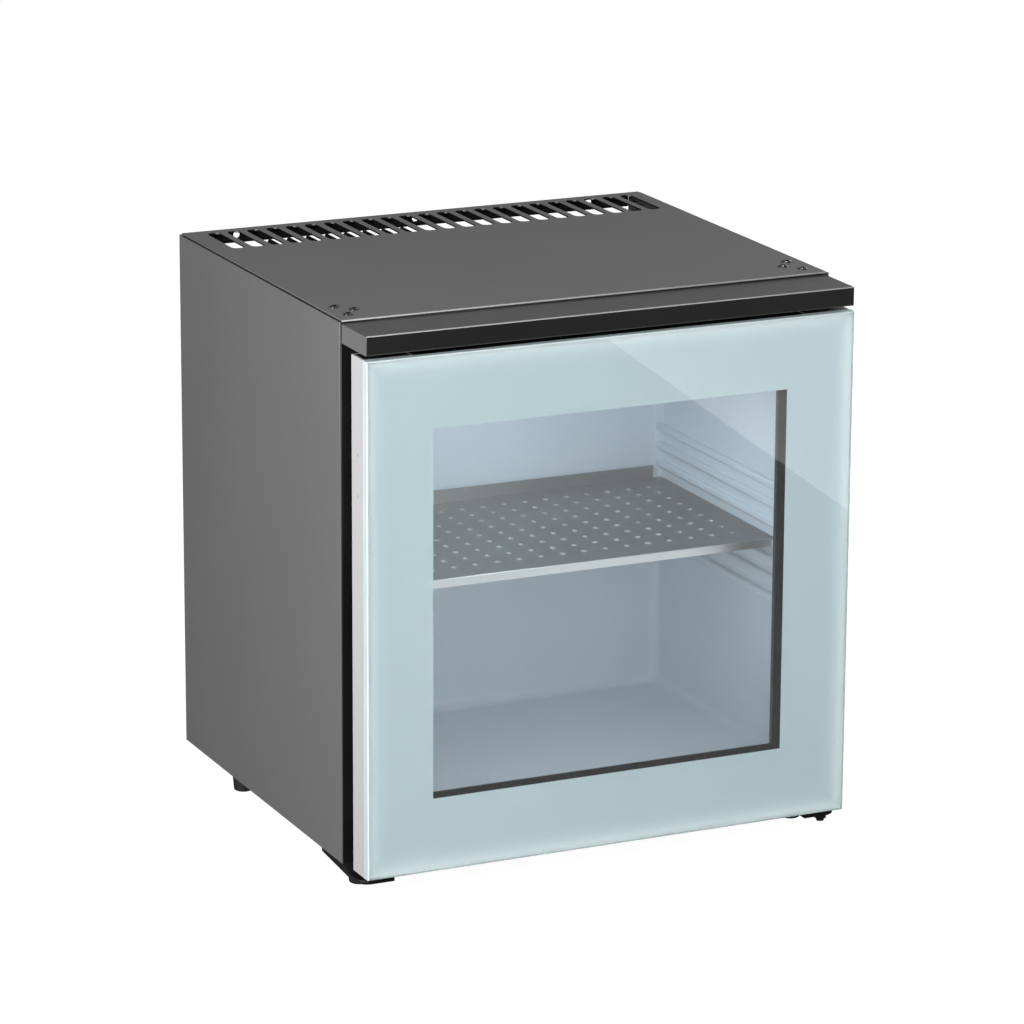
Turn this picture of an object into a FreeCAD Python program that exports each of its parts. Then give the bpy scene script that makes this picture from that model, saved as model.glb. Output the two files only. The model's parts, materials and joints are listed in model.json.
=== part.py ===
import FreeCAD, Part
import math
import os
import re

import Sketcher
from FreeCAD import Rotation, Vector

# A silent hotel minibar: an insulated cabinet with a glazed door, a shelf and an absorption cooling unit.
# +Z is up, the door faces -Y, and the origin is on the floor under the middle of the whole object.

SIZES = {
    # Cabinet as a whole
    "cabinet_width": 400.0,
    "cabinet_depth": 320.0,
    "cabinet_height": 414.0,
    "foot_height": 20.0,
    "door_projection": 45.0,
    "sheet": 1.2,
    "fit": 0.1,
    "overrun": 5.0,
    # Insulated box, from the outer faces to the interior
    "side_wall": 31.0,
    "top_wall": 38.0,
    "floor_wall": 32.0,
    "rear_wall": 32.0,
    "liner": 2.0,
    "chimney_depth": 66.0,
    # Folded outer panels
    "panel_seam": 0.6,
    "seam_step": 0.8,
    "top_edge_radius": 1.0,
    "rear_return": 10.0,
    "flange_height": 11.2,
    "flange_hole_radius": 2.8,
    "flange_hole_spacing": 152.5,
    "flange_hole_drop": 4.9,
    # Air slots in the top panel
    "slot_count": 23,
    "slot_margin": 21.8,
    "slot_width": 10.5,
    "slot_length": 58.0,
    "slot_setback": 9.0,
    "slot_corner": 4.0,
    "slot_shift": 2.2,
    # Bar above the door
    "bar_inset": 2.0,
    "bar_height": 14.6,
    "bar_drop": 2.3,
    "bar_projection": 44.0,
    "bar_wall": 1.8,
    "bar_edge_radius": 0.9,
    # Frame round the opening
    "frame_plate": 2.5,
    "rim_projection": 4.0,
    "rim_width": 16.0,
    # Shelf runners moulded in the liner
    "rib_count": 7,
    "ribs_below_shelf": 3,
    "rib_pitch": 15.0,
    "rib_reach": 4.0,
    "rib_height": 6.0,
    "rib_tip": 3.0,
    "rib_setback": 12.0,
    # Perforated shelf
    "shelf_drop": 209.0,
    "shelf_sheet": 1.2,
    "shelf_lip": 6.5,
    "shelf_back_lip": 10.0,
    "shelf_back_inset": 8.0,
    "shelf_side_gap": 1.0,
    "shelf_setback": 20.0,
    "shelf_rear_gap": 6.0,
    "shelf_corner": 4.0,
    "shelf_hole_radius": 3.0,
    "shelf_hole_side_margin": 24.0,
    "shelf_hole_end_margin": 26.0,
    "shelf_hole_columns": 17,
    "shelf_hole_rows": 9,
    # Door
    "door_inset": 2.0,
    "door_top_gap": 3.9,
    "door_rise": 0.6,
    "front_pane": 6.0,
    "pane_bevel": 0.8,
    "inner_pane": 4.0,
    "enamel": 0.3,
    "profile_depth": 21.3,
    "profile_width": 39.5,
    "profile_wall": 2.0,
    "side_margin": 53.8,
    "end_margin": 55.4,
    "reveal_step": 0.3,
    "spacer_depth": 6.5,
    "clamp_step": 3.0,
    "inner_frame_plate": 4.0,
    "inner_frame_inset": 2.0,
    "plug_depth": 20.0,
    "pilot_radius": 1.3,
    "pilot_drop": 72.7,
    "pilot_spacing": 31.0,
    "pilot_setback": 10.5,
    # Seal and its magnets
    "gasket_inset": 3.5,
    "gasket_width": 11.0,
    "gasket_round": 2.5,
    "seal_gap": 0.3,
    "magnet_width": 6.0,
    "magnet_depth": 3.0,
    # Hinges
    "pin_inset": 10.0,
    "pin_projection": 24.0,
    "pin_radius": 3.0,
    "pin_clearance": 0.05,
    "pin_reach": 16.0,
    "pin_head_radius": 5.0,
    "pin_head_height": 2.5,
    "pin_tail": 6.5,
    "door_rest_gap": 0.3,
    "nut_radius": 4.6,
    "nut_height": 4.5,
    "bracket": 3.0,
    "bracket_corner": 10.0,
    "upper_bracket_width": 25.5,
    "upper_bracket_inset": 4.5,
    "upper_bracket_front": 36.0,
    "upper_bracket_rear": 52.0,
    "upper_web_setback": 0.3,
    "lower_bracket_width": 28.0,
    "lower_bracket_inset": 0.5,
    "lower_bracket_front": 33.0,
    "lower_bracket_rear": 40.0,
    "lower_bracket_drop": 4.0,
    "lower_web_run": 10.0,
    # Screws
    "screw_radius": 2.0,
    "screw_head_radius": 3.8,
    "screw_head_height": 1.4,
    "screw_room": 5.0,
    "screw_end": 3.0,
    "top_screw_outer": 14.0,
    "top_screw_inner": 24.0,
    "top_screw_front": 16.5,
    "top_screw_middle": 29.0,
    "top_screw_rear": 42.3,
    "lower_screw_setback": 30.0,
    "bar_screw_projection": 12.0,
    # Feet
    "foot_top_radius": 9.0,
    "foot_bottom_radius": 7.5,
    "foot_edge_radius": 1.5,
    "foot_recess_radius": 4.4,
    "foot_recess_depth": 9.0,
    "foot_side_inset": 18.0,
    "foot_front_setback": 10.0,
    "foot_rear_setback": 78.0,
    # Lamp and thermostat under the ceiling
    "lamp_width": 120.0,
    "lamp_depth": 60.0,
    "lamp_height": 22.0,
    "lamp_wall": 2.0,
    "lamp_setback": 30.0,
    "lens_width": 60.0,
    "lens_depth": 34.0,
    "lens_thickness": 2.0,
    "lens_lap": 3.0,
    "board": 1.6,
    "board_margin": 6.0,
    "diode_count": 4,
    "diode_width": 3.5,
    "diode_height": 1.2,
    "diode_pitch": 13.0,
    "knob_radius": 8.5,
    "knob_depth": 12.0,
    "knob_flat": 5.0,
    "knob_grip_share": 0.94,
    "knob_offset": 40.0,
    "knob_gap": 0.5,
    "spindle_radius": 3.0,
    "spindle_reach": 8.0,
    # Cold plate and evaporator
    "cold_width": 240.0,
    "cold_height": 70.0,
    "cold_plate": 3.0,
    "cold_drop": 8.0,
    "cold_fin": 2.0,
    "cold_fin_depth": 14.0,
    "cold_fin_count": 14,
    "cold_fin_margin": 16.0,
    "cold_screw_margin": 7.0,
    "recess_inset": 30.0,
    "recess_margin": 6.0,
    "tube_radius": 7.0,
    "tube_gap": 0.4,
    "bend": 16.0,
    "evaporator_pitch": 34.0,
    "evaporator_reach": 114.0,
    "entry_inset": 45.0,
    # Cooling unit in the rear air space
    "unit_setback": 31.5,
    "condenser_drop": 27.0,
    "condenser_end_drop": 47.0,
    "fin_size": 44.0,
    "fin_clip": 12.0,
    "fin": 0.8,
    "fin_count": 8,
    "fin_pitch": 16.0,
    "fin_start": 66.0,
    "boiler_inset": 70.0,
    "boiler_radius": 11.0,
    "boiler_low": 92.0,
    "boiler_drop": 59.0,
    "jacket_radius": 26.0,
    "jacket_low": 110.0,
    "jacket_neck": 15.0,
    "jacket_edge_radius": 3.0,
    "heater_radius": 5.5,
    "heater_offset": 18.0,
    "heater_low": 98.0,
    "heater_length": 120.0,
    "vessel_radius": 24.0,
    "vessel_rise": 46.0,
    "vessel_inset": 25.0,
    "vessel_length": 195.0,
    "vessel_edge_radius": 8.0,
    "coil_top_drop": 58.0,
    "coil_bend_share": 0.4,
    "coil_runs": 5,
    "coil_rise": 92.0,
    "coil_left_inset": 75.0,
    "coil_right_inset": 130.0,
    "coil_feed_back": 90.0,
    "saddle_width": 20.0,
    "saddle_height": 14.0,
    "saddle_end": 20.0,
    "strap_width": 16.0,
    # Control box on the rear panel
    "box_inset": 30.0,
    "box_width": 80.0,
    "box_depth": 48.0,
    "box_height": 68.0,
    "box_rise": 12.0,
    "box_wall": 2.0,
    "standoff_radius": 3.0,
    "standoff_height": 6.0,
    "circuit_margin": 8.0,
    "inlet_width": 28.0,
    "inlet_height": 21.0,
    "inlet_depth": 20.0,
    "inlet_wall": 2.0,
    "inlet_lip": 3.0,
    "inlet_lip_depth": 2.5,
    "blade_width": 2.0,
    "blade_height": 4.0,
    "blade_spacing": 14.0,
    "earth_rise": 4.0,
    "blade_reach": 13.0,
}

# Places that follow from the driving sizes
PLACES = {
    "front": "(door_projection - cabinet_depth) / 2",
    "rear": "(door_projection + cabinet_depth) / 2",
    "bottom": "foot_height",
    "top": "foot_height + cabinet_height",
    "outer_x": "cabinet_width / 2",
    "skin_x": "outer_x - sheet",
    "inner_x": "outer_x - side_wall",
    "liner_x": "inner_x + liner",
    "ceiling": "top - top_wall",
    "floor_level": "bottom + floor_wall",
    "back_panel": "rear - chimney_depth",
    "back_skin": "back_panel - sheet",
    "back_wall": "back_panel - rear_wall",
    "liner_back": "back_wall + liner",
    "frame_back": "front + frame_plate",
    "bar_x": "outer_x - bar_inset",
    "bar_top": "top - bar_drop",
    "bar_bottom": "bar_top - bar_height",
    "bar_floor": "bar_bottom + bar_wall",
    "flange_x": "skin_x - rear_return - panel_seam",
    "slot_pitch": "(cabinet_width - 2 * slot_margin) / (slot_count - 1)",
    # Door, from the glass backwards
    "door_front": "front - door_projection",
    "enamel_front": "door_front + front_pane",
    "profile_front": "enamel_front + enamel",
    "profile_back": "profile_front + profile_depth",
    "inner_pane_front": "profile_front + spacer_depth",
    "inner_pane_back": "inner_pane_front + inner_pane",
    "inner_frame_back": "profile_back + inner_frame_plate",
    "door_x": "outer_x - door_inset",
    "door_top": "bar_bottom - door_top_gap",
    "door_bottom": "bottom + door_rise",
    "stile_x": "door_x - profile_width",
    "rail_high": "door_top - profile_width",
    "rail_low": "door_bottom + profile_width",
    "window_x": "door_x - side_margin",
    "window_high": "door_top - end_margin",
    "window_low": "door_bottom + end_margin",
    "reveal_x": "window_x + reveal_step",
    "reveal_high": "window_high + reveal_step",
    "reveal_low": "window_low - reveal_step",
    "clamp_x": "reveal_x + clamp_step",
    "clamp_high": "reveal_high + clamp_step",
    "clamp_low": "reveal_low - clamp_step",
    "rim_front": "front - rim_projection",
    "gasket_back": "rim_front - seal_gap",
    # Hinge axis and brackets
    "pin_x": "outer_x - pin_inset",
    "pin_y": "front - pin_projection",
    "upper_tab": "top - sheet - bracket",
    "upper_arm": "bar_floor",
    "lower_tab": "bottom - bracket",
    "lower_arm": "lower_tab - lower_bracket_drop",
    "foot_x": "outer_x - foot_side_inset",
    "foot_body": "foot_height - bracket",
    "foot_front_y": "front + foot_front_setback",
    "foot_rear_y": "rear - foot_rear_setback",
    # Interior fittings
    "shelf_top": "top - shelf_drop",
    "shelf_bottom": "shelf_top - shelf_sheet",
    "shelf_x": "inner_x - shelf_side_gap",
    "shelf_front": "front + shelf_setback",
    "shelf_rear": "back_wall - shelf_rear_gap",
    "hole_step": "2 * (shelf_x - shelf_hole_side_margin) / (shelf_hole_columns - 1)",
    "hole_row_step": "(shelf_rear - shelf_front - 2 * shelf_hole_end_margin) / (shelf_hole_rows - 1)",
    "lamp_x": "lamp_width / 2",
    "lamp_front": "front + lamp_setback",
    "lamp_rear": "lamp_front + lamp_depth",
    "lamp_bottom": "ceiling - lamp_height",
    "lens_middle": "lamp_front + lamp_depth / 2",
    "knob_x": "lamp_x - knob_offset / 2",
    "knob_z": "ceiling - lamp_height / 2",
    "cold_x": "cold_width / 2",
    "cold_high": "ceiling - cold_drop",
    "cold_low": "cold_high - cold_height",
    "cold_front": "back_wall - cold_plate",
    "cold_fin_pitch": "(cold_width - 2 * cold_fin_margin) / (cold_fin_count - 1)",
    "recess_x": "outer_x - recess_inset",
    "recess_high": "cold_high + recess_margin",
    "recess_low": "cold_low - recess_margin",
    "spread_back": "liner_back + cold_plate",
    # Cooling unit
    "unit_y": "back_panel + unit_setback",
    "tube_y": "spread_back + tube_radius",
    "evaporator_high": "cold_high - (cold_height - evaporator_pitch) / 2",
    "evaporator_low": "evaporator_high - evaporator_pitch",
    "entry_x": "entry_inset - outer_x",
    "condenser_z": "top - condenser_drop",
    "boiler_x": "outer_x - boiler_inset",
    "boiler_top": "condenser_z - boiler_drop",
    "vessel_z": "bottom + vessel_rise",
    "vessel_start": "vessel_inset - outer_x",
    "vessel_stop": "vessel_start + vessel_length",
    "coil_low": "bottom + coil_rise",
    "coil_pitch": "(jacket_roof - coil_top_drop - coil_low) / (coil_runs - 1)",
    "coil_left": "coil_left_inset - outer_x",
    "coil_right": "outer_x - coil_right_inset",
    "coil_feed": "coil_right - coil_feed_back",
    # Control box
    "box_right": "outer_x - box_inset",
    "box_left": "box_right - box_width",
    "box_low": "bottom + box_rise",
    "box_high": "box_low + box_height",
    "box_rear": "back_panel + box_depth",
    "jacket_floor": "bottom + jacket_low",
    "jacket_roof": "boiler_top - jacket_neck",
    "inlet_x": "(box_left + box_right) / 2",
    "inlet_z": "(box_low + box_high) / 2",
}

SIDES = {"left": "-1", "right": "1"}

doc = FreeCAD.newDocument("minibar")
sheet = doc.addObject("Spreadsheet::Sheet", "Sizes")
for row, (size_name, size_value) in enumerate(SIZES.items(), start=1):
    sheet.set(f"A{row}", size_name)
    sheet.set(f"B{row}", str(size_value))
    sheet.setAlias(f"B{row}", size_name)
doc.recompute()

subparts = []


# Reading the sheet

def spell(text):
    """Write an expression out in the sheet's own cells."""
    def swap(found):
        word = found.group()
        if word in PLACES:
            return "(" + spell(PLACES[word]) + ")"
        if word in SIZES:
            return "Sizes." + word
        return word
    return re.sub(r"[a-z][a-z_]*", swap, text)


def size(text):
    """The number that an expression stands for at the sheet's present sizes."""
    return float(sheet.evalExpression(spell(text)))


def point(x, y, z):
    return Vector(size(x), size(y), size(z))


def span(side, low, high):
    """A stretch across the object on its left or its right side."""
    if side == "right":
        return low, high
    return f"-({high})", f"-({low})"


def both(half):
    """A stretch as wide on the left as on the right."""
    return f"-({half})", half


def about(middle, half):
    """A stretch as long on either side of a middle."""
    return f"{middle} - ({half})", f"{middle} + ({half})"


def keep(shape_object, label):
    """List a finished sub-part under its own name."""
    shape_object.Label = label
    subparts.append(shape_object)
    return shape_object


# Blocks, rods and their booleans

def block(name, x, y, z):
    """A block between a low and a high place along each axis."""
    made = doc.addObject("Part::Box", name)
    for axis, side, (low, high) in zip("xyz", ("Length", "Width", "Height"), (x, y, z)):
        made.setExpression(side, spell(f"({high}) - ({low})"))
        made.setExpression(f"Placement.Base.{axis}", spell(low))
    return made


def put(made, start, direction):
    """Stand a round shape on a place, along a direction."""
    made.Placement.Rotation = Rotation(Vector(0, 0, 1), Vector(*direction))
    for axis, place in zip("xyz", start):
        made.setExpression(f"Placement.Base.{axis}", spell(place))
    return made


def rod(name, radius, length, start, direction=(0, 0, 1)):
    made = doc.addObject("Part::Cylinder", name)
    made.setExpression("Radius", spell(radius))
    made.setExpression("Height", spell(length))
    return put(made, start, direction)


def cone(name, radii, length, start, direction=(0, 0, 1)):
    made = doc.addObject("Part::Cone", name)
    made.setExpression("Radius1", spell(radii[0]))
    made.setExpression("Radius2", spell(radii[1]))
    made.setExpression("Height", spell(length))
    return put(made, start, direction)


def join(name, shapes):
    made = doc.addObject("Part::MultiFuse", name)
    made.Shapes = shapes
    return made


def group(name, shapes):
    made = doc.addObject("Part::Compound", name)
    made.Links = shapes
    return made


def cut(name, base, tools):
    made = doc.addObject("Part::Cut", name)
    made.Base = base
    made.Tool = tools[0] if len(tools) == 1 else group(name + "_cuts", tools)
    return made


def screw(name, seat, direction, reach):
    """A round-headed screw with its head on a seat and its shank along a direction."""
    outward = [-part for part in direction]
    radii = ("screw_head_radius", "screw_head_radius / 2")
    head = cone(name + "_head", radii, "screw_head_height", seat, outward)
    return join(name, [head, rod(name + "_shank", "screw_radius", reach, seat, direction)])


# Bodies with sketches

def new_body(label):
    return keep(doc.addObject("PartDesign::Body", label), label)


def origin_part(body, role):
    return next(feature for feature in body.Origin.OriginFeatures if feature.Role == role)


def tie(sketch, geometry, end, x, y):
    """Hold a point of an outline at its place."""
    for kind, place, axis in (("DistanceX", x, -2), ("DistanceY", y, -1)):
        if place == "0":
            sketch.addConstraint(Sketcher.Constraint("PointOnObject", geometry, end, axis))
            continue
        index = sketch.addConstraint(Sketcher.Constraint(kind, -1, 1, geometry, end, size(place)))
        sketch.setExpression(f"Constraints[{index}]", spell(place))


def polygon(sketch, places):
    """A closed outline of straight lines."""
    corners = [point(x, y, "0") for x, y in places]
    first = sketch.GeometryCount
    for here, there in zip(corners, corners[1:] + corners[:1]):
        sketch.addGeometry(Part.LineSegment(here, there), False)
    for index, (x, y) in enumerate(places):
        before = first + (index - 1) % len(places)
        sketch.addConstraint(Sketcher.Constraint("Coincident", before, 2, first + index, 1))
        tie(sketch, first + index, 1, x, y)


def rectangle(sketch, x, y):
    polygon(sketch, [(x[0], y[0]), (x[1], y[0]), (x[1], y[1]), (x[0], y[1])])


def circle(sketch, x, y, radius):
    index = sketch.addGeometry(Part.Circle(point(x, y, "0"), Vector(0, 0, 1), size(radius)), False)
    tie(sketch, index, 3, x, y)
    limit = sketch.addConstraint(Sketcher.Constraint("Radius", index, size(radius)))
    sketch.setExpression(f"Constraints[{limit}]", spell(radius))


def soft_rectangle(sketch, x, y, radius):
    """A rectangle with round corners."""
    reach = f"({radius})"
    right, left = f"({x[1]}) - {reach}", f"({x[0]}) + {reach}"
    low, high = f"({y[0]}) + {reach}", f"({y[1]}) - {reach}"
    centres = [(right, low), (right, high), (left, high), (left, low)]
    arcs = []
    for step, (across, up) in enumerate(centres):
        corner = Part.Circle(point(across, up, "0"), Vector(0, 0, 1), size(radius))
        arcs.append(Part.ArcOfCircle(corner, math.pi * (step - 1) / 2, math.pi * step / 2))
    for here, there in zip(arcs, arcs[1:] + arcs[:1]):
        sketch.addGeometry(here, False)
        sketch.addGeometry(Part.LineSegment(here.EndPoint, there.StartPoint), False)
    for here in range(8):
        sketch.addConstraint(Sketcher.Constraint("Tangent", here, 2, (here + 1) % 8, 1))
    for step, centre in enumerate(centres):
        tie(sketch, 2 * step, 3, *centre)
        if step:
            sketch.addConstraint(Sketcher.Constraint("Equal", 0, 2 * step))
    limit = sketch.addConstraint(Sketcher.Constraint("Radius", 0, size(radius)))
    sketch.setExpression(f"Constraints[{limit}]", spell(radius))


def sketch_on(body, plane, offset):
    sketch = body.newObject("Sketcher::SketchObject", body.Name + "_outline")
    sketch.AttachmentSupport = [(origin_part(body, plane), "")]
    sketch.MapMode = "FlatFace"
    away = f"-({offset})" if plane == "XZ_Plane" else offset
    sketch.setExpression("AttachmentOffset.Base.z", spell(away))
    return sketch


def slab(body, plane, low, high, draw, remove=False):
    """Add, or cut away, what is drawn between two places along the plane's own axis."""
    before = body.Shape.Volume if remove else 0
    start = low if (plane == "XZ_Plane") == remove else high
    sketch = sketch_on(body, plane, start)
    draw(sketch)
    feature = body.newObject("PartDesign::Pocket" if remove else "PartDesign::Pad", body.Name + "_slab")
    feature.Profile = sketch
    feature.setExpression("Length", spell(f"({high}) - ({low})"))
    doc.recompute()
    if remove and body.Shape.Volume >= before:
        raise RuntimeError(f"{body.Label}: a cut took nothing away")
    return feature


def holes(body, plane, low, high, spots, radius):
    def draw(sketch):
        for x, y in spots:
            circle(sketch, x, y, radius)
    return slab(body, plane, low, high, draw, remove=True)


def bores(body, plane, low, high, spots, radius="screw_radius + fit"):
    """Round holes right through what lies between two places."""
    return holes(body, plane, f"{low} - overrun / 2", f"{high} + overrun / 2", spots, radius)


def ring(body, plane, low, high, outer, inner):
    """A frame between two rectangles."""
    def draw(sketch):
        rectangle(sketch, *outer)
        rectangle(sketch, *inner)
    return slab(body, plane, low, high, draw)


def turned(body, places):
    """A solid of revolution about Z, from its outline in radius and height."""
    sketch = sketch_on(body, "XZ_Plane", "0")
    polygon(sketch, places)
    feature = body.newObject("PartDesign::Revolution", body.Name + "_turning")
    feature.Profile = sketch
    feature.ReferenceAxis = (sketch, ["V_Axis"])
    doc.recompute()
    return feature


def soften(body, kind, length, wanted):
    """Round or bevel the edges of the body that a test picks."""
    base = body.Tip
    names = [f"Edge{index}" for index, edge in enumerate(base.Shape.Edges, start=1) if wanted(edge)]
    feature = body.newObject(f"PartDesign::{kind}", body.Name + "_edges")
    feature.Base = (base, names)
    feature.setExpression("Radius" if kind == "Fillet" else "Size", spell(length))
    doc.recompute()
    return feature


def pattern(body, original, axis, count, step):
    """Repeat a feature along one of the body's axes."""
    feature = body.newObject("PartDesign::LinearPattern", body.Name + "_row")
    feature.Originals = [original]
    feature.Direction = (origin_part(body, axis), [""])
    feature.setExpression("Occurrences", spell(count))
    feature.setExpression("Length", spell(f"({step}) * ({count} - 1)"))
    body.Tip = feature
    doc.recompute()
    return feature


def along(edge, axis):
    """Whether an edge runs straight along an axis."""
    direction = edge.Vertexes[-1].Point - edge.Vertexes[0].Point
    return edge.Curve.TypeId == "Part::GeomLine" and abs(abs(direction.normalize().dot(axis)) - 1) < 1e-6


def at(edge, axis, place):
    """Whether the whole edge lies at one place along an axis."""
    return all(abs(vertex.Point.dot(axis) - size(place)) < 1e-6 for vertex in edge.Vertexes)


X, Y, Z = Vector(1, 0, 0), Vector(0, 1, 0), Vector(0, 0, 1)


# Outer panels

TOP_SCREWS = [
    ("outer_x - top_screw_outer", "front + top_screw_front"),
    ("outer_x - top_screw_inner", "front + top_screw_middle"),
    ("outer_x - top_screw_outer", "front + top_screw_rear"),
]
BAR_SCREW = [("outer_x - top_screw_inner", "front - bar_screw_projection")]


def on_side(side, spots):
    return [(f"{SIDES[side]} * ({x})", y) for x, y in spots]


def top_panel():
    """Top sheet with its row of air slots and a rear flange turned down."""
    body = new_body("top_panel")
    wide = "skin_x - panel_seam"
    slab(body, "XY_Plane", "top - sheet", "top", lambda s: rectangle(s, both(wide), ("front", "rear")))
    soften(body, "Fillet", "top_edge_radius",
           lambda e: at(e, Z, "top") and (along(e, Y) or at(e, Y, "front")))
    slab(body, "XZ_Plane", "rear - sheet", "rear",
         lambda s: rectangle(s, both("flange_x"), ("top - flange_height", "top - sheet")))
    bores(body, "XZ_Plane", "rear - sheet", "rear",
          [(x, "top - flange_hole_drop") for x in ("-flange_hole_spacing", "0", "flange_hole_spacing")],
          "flange_hole_radius")
    bores(body, "XY_Plane", "top - sheet", "top", on_side("left", TOP_SCREWS) + on_side("right", TOP_SCREWS))
    first = about("slot_shift - slot_pitch * (slot_count - 1) / 2", "slot_width / 2")
    run = ("rear - slot_setback - slot_length", "rear - slot_setback")
    slot = slab(body, "XY_Plane", "top - sheet - overrun", "top + overrun",
                lambda s: soft_rectangle(s, first, run, "slot_corner"), remove=True)
    pattern(body, slot, "X_Axis", "slot_count", "slot_pitch")


def side_panel(side):
    """Side sheet with its rear edge turned in, and a lip under the top sheet behind the insulation."""
    body = new_body(f"side_panel_{side}")
    slab(body, "XY_Plane", "bottom", "top - seam_step",
         lambda s: rectangle(s, span(side, "skin_x", "outer_x"), ("front", "rear")))
    slab(body, "XY_Plane", "bottom", "top - sheet - panel_seam",
         lambda s: rectangle(s, span(side, "skin_x - rear_return", "skin_x"), ("rear - sheet", "rear")))
    slab(body, "XY_Plane", "top - 2 * sheet - panel_seam", "top - sheet - panel_seam",
         lambda s: rectangle(s, span(side, "skin_x - rear_return", "skin_x"),
                             ("back_panel + panel_seam", "rear")))


def base_plate():
    """Floor sheet of the insulated box, with holes for the feet and the lower brackets."""
    body = new_body("base_plate")
    slab(body, "XY_Plane", "bottom", "bottom + sheet",
         lambda s: rectangle(s, both("skin_x"), ("front", "back_panel")))
    feet = [(f"{sign} * foot_x", y) for sign in SIDES.values() for y in ("foot_front_y", "foot_rear_y")]
    brackets = [(f"{sign} * foot_x", "front + lower_screw_setback") for sign in SIDES.values()]
    bores(body, "XY_Plane", "bottom", "bottom + sheet", feet + brackets)


def rear_panel():
    """Sheet behind the insulation, with two holes for the evaporator tube."""
    body = new_body("rear_panel")
    slab(body, "XZ_Plane", "back_skin", "back_panel",
         lambda s: rectangle(s, both("skin_x"), ("bottom + sheet", "top - sheet")))
    bores(body, "XZ_Plane", "back_skin", "back_panel",
          [("entry_x", "evaporator_high"), ("entry_x", "evaporator_low")], "tube_radius + tube_gap")


# Insulated box

def inner_liner():
    """Moulded tub with shelf runners on both side walls."""
    body = new_body("inner_liner")
    slab(body, "XZ_Plane", "frame_back", "liner_back",
         lambda s: rectangle(s, both("liner_x"), ("floor_level - liner", "ceiling + liner")))
    slab(body, "XZ_Plane", "frame_back - overrun", "back_wall",
         lambda s: rectangle(s, both("inner_x"), ("floor_level", "ceiling")), remove=True)
    bores(body, "XZ_Plane", "back_wall", "liner_back", cold_screw_spots())
    level = "shelf_bottom - rib_pitch * ribs_below_shelf"

    def runner(sketch):
        for sign in SIDES.values():
            polygon(sketch, [
                (f"{sign} * inner_x", level),
                (f"{sign} * (inner_x - rib_reach)", level),
                (f"{sign} * (inner_x - rib_reach)", f"{level} - rib_tip"),
                (f"{sign} * inner_x", f"{level} - rib_height"),
            ])
    rib = slab(body, "XZ_Plane", "frame_back + rib_setback", "back_wall", runner)
    pattern(body, rib, "Z_Axis", "rib_count", "rib_pitch")


def insulation_foam():
    """Foam between the liner and the outer panels, with room for the tube, brackets and screw tips."""
    base = block("foam_block", both("skin_x"), ("frame_back", "back_skin"), ("bottom + sheet", "top - sheet"))
    rooms = [
        block("foam_tub", both("liner_x"), ("frame_back - overrun", "liner_back"),
              ("floor_level - liner", "ceiling + liner")),
        block("foam_recess", both("recess_x"), ("liner_back - overrun", "back_skin + overrun"),
              ("recess_low", "recess_high")),
    ]
    for side, sign in SIDES.items():
        wide = span(side, f"{UPPER_BRACKET[0]} - fit", f"{UPPER_BRACKET[1]} + fit")
        rooms.append(block(f"foam_tab_room_{side}", wide,
                           ("frame_back - overrun", "front + upper_bracket_rear + fit"),
                           ("upper_tab - screw_room", "top")))
        rooms.append(block(f"foam_web_room_{side}", wide,
                           ("frame_back - overrun", "front + upper_web_setback + bracket + fit"),
                           ("upper_arm - fit", "top")))
        for spot in ("foot_front_y", "foot_rear_y", "front + lower_screw_setback"):
            rooms.append(rod(f"foam_screw_room_{side}", "foot_recess_radius", "screw_room + sheet",
                             (f"{sign} * foot_x", spot, "bottom")))
    keep(cut("insulation_foam", base, [join("foam_rooms", rooms)]), "insulation_foam")


def front_frame():
    """Black frame round the opening, with a raised rim for the seal and notches for the upper brackets."""
    body = new_body("front_frame")
    opening = (both("inner_x"), ("floor_level", "ceiling"))
    ring(body, "XZ_Plane", "front", "frame_back",
         (both("skin_x - fit"), ("bottom + sheet + fit", "top - sheet - fit")), opening)
    ring(body, "XZ_Plane", "rim_front", "front",
         (both("inner_x + rim_width"), ("floor_level - rim_width", "ceiling + rim_width")), opening)
    for side in SIDES:
        wide = span(side, f"{UPPER_BRACKET[0]} - fit", f"{UPPER_BRACKET[1]} + fit")
        slab(body, "XZ_Plane", "front - overrun", "frame_back + overrun",
             lambda s: rectangle(s, wide, ("upper_arm - fit", "top")), remove=True)


def fascia_bar():
    """Hollow bar above the door, open to the cabinet behind it, with a hole for the upper pin."""
    body = new_body("fascia_bar")
    low = "front - bar_projection"
    half = "bar_x"
    slab(body, "XZ_Plane", low, "front", lambda s: rectangle(s, both(half), ("bar_bottom", "bar_top")))
    soften(body, "Fillet", "bar_edge_radius",
           lambda e: at(e, Y, low) or (along(e, Y) and at(e, Z, "bar_top")))
    slab(body, "XZ_Plane", f"{low} + bar_wall", "front + overrun",
         lambda s: rectangle(s, both(f"{half} - bar_wall"), ("bar_floor", "bar_top - bar_wall")), remove=True)
    bores(body, "XY_Plane", "bar_bottom", "bar_floor", [("pin_x", "pin_y")], "pin_radius + bar_wall / 2")
    screws = on_side("left", BAR_SCREW) + on_side("right", BAR_SCREW)
    bores(body, "XY_Plane", "bar_bottom", "bar_floor", screws)


# Hinges

UPPER_BRACKET = ("outer_x - upper_bracket_inset - upper_bracket_width", "outer_x - upper_bracket_inset")
LOWER_BRACKET = ("outer_x - lower_bracket_inset - lower_bracket_width", "outer_x - lower_bracket_inset")


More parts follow.
